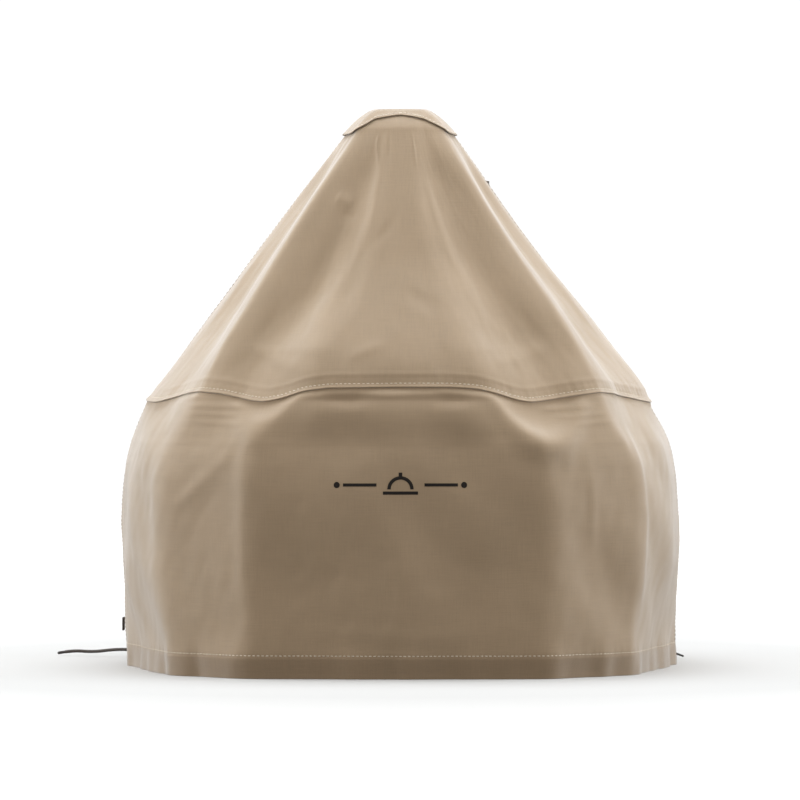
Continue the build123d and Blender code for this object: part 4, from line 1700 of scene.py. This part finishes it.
@dataclass
class Studio:
    """Floor, soft lights and camera."""

    finishes: Finishes
    distance: float = 6.343
    eye: float = 0.3535
    below: float = 0.13
    overhead: float = 0.42
    strength: float = 1.06
    floor_reach: float = 9e3

    def area(self, name: str, place: Sequence[float], aim: Sequence[float], size: tuple[float, float],
             power: float, colour: tuple[float, float, float] = (0.94, 1.0, 1.06)) -> None:
        """Hangs one large soft light.

        Args:
            name: The light's name.
            place: Where it hangs, in metres.
            aim: The point that it faces.
            size: Its width and height, in metres.
            power: Its power, in watts.
            colour: Its colour.
        """
        lamp = bpy.data.lights.new(name, "AREA")
        lamp.shape = "RECTANGLE"
        lamp.size, lamp.size_y = size
        lamp.energy = power
        lamp.color = colour
        stand = bpy.data.objects.new(name, lamp)
        stand.location = place
        stand.rotation_euler = (Vector(aim) - Vector(place)).to_track_quat("-Z", "Y").to_euler()
        bpy.context.scene.collection.objects.link(stand)

    def camera(self) -> None:
        """Sets up the camera, level and far off."""
        lens = bpy.data.cameras.new("camera")
        lens.lens = 216.0
        lens.sensor_width = 36.0
        lens.shift_x = -0.0006
        lens.shift_y = -0.00375
        lens.clip_end = 100.0
        stand = bpy.data.objects.new("camera", lens)
        stand.location = (0.0, -self.distance, self.eye)
        stand.rotation_euler = (math.pi / 2, 0.0, 0.0)
        bpy.context.scene.collection.objects.link(stand)
        bpy.context.scene.camera = stand

    def surround(self) -> None:
        """Makes the white surround: bright round the horizon, dimmer overhead and from below."""
        world = bpy.data.worlds.new("studio")
        bench = Bench(world)
        way = bench.node("ShaderNodeTexCoord", out="Generated")
        up = bench.node("ShaderNodeSeparateXYZ", {}, {0: way}, 2)
        height = bench.level(up, -1.0, 1.0)
        stops = ((0.0, self.below), (0.40, self.below), (0.44, 1.0), (0.56, 1.0), (0.62, self.overhead))
        greys = [(place, rgba((grey, grey, grey))) for place, grey in stops]
        tone = bench.node("ShaderNodeValToRGB", {"stops": greys}, {0: height})
        glow = bench.node("ShaderNodeBackground", {}, {"Color": tone, "Strength": self.strength})
        bench.node("ShaderNodeOutputWorld", {}, {"Surface": glow})
        bpy.context.scene.world = world

    def light(self) -> None:
        """Lays the floor and hangs the lights."""
        corners = np.array([(-1, -1, 0), (1, -1, 0), (1, 1, 0), (-1, 1, 0)]) * self.floor_reach
        floor = make_object("floor", corners, [(0, 1, 2, 3)])
        floor.data.materials.append(self.finishes.made["ground"])
        floor.visible_diffuse = False
        self.surround()
        self.area("side_left", (-2.3, 0.15, 1.0), (0.0, 0.0, 0.35), (1.6, 2.2), 61.0)
        self.area("side_right", (2.3, 0.15, 1.0), (0.0, 0.0, 0.35), (1.6, 2.2), 59.0)
        self.area("above", (0.0, 0.25, 3.0), (0.0, 0.0, 0.3), (2.2, 2.2), 94.0)
        self.area("fill", (0.0, -4.2, 1.6), (0.0, 0.0, 0.3), (3.0, 2.0), 42.0, (1.0, 1.0, 1.0))
        bpy.context.scene.view_settings.view_transform = "Standard"
        bpy.context.scene.view_settings.exposure = 0.0


def main() -> None:
    """Builds the studio, the cord, the cloth and the trimmings in order."""
    logging.basicConfig(level=logging.INFO, format="%(name)s: %(message)s")
    finishes = Finishes()
    studio = Studio(finishes)
    studio.camera()
    Drawcord(finishes).build()
    Panels(finishes).build()
    Stitching(finishes).build()
    Trimmings(finishes).build()
    Mark(finishes).build()
    studio.light()


if __name__ == "__main__":
    main()
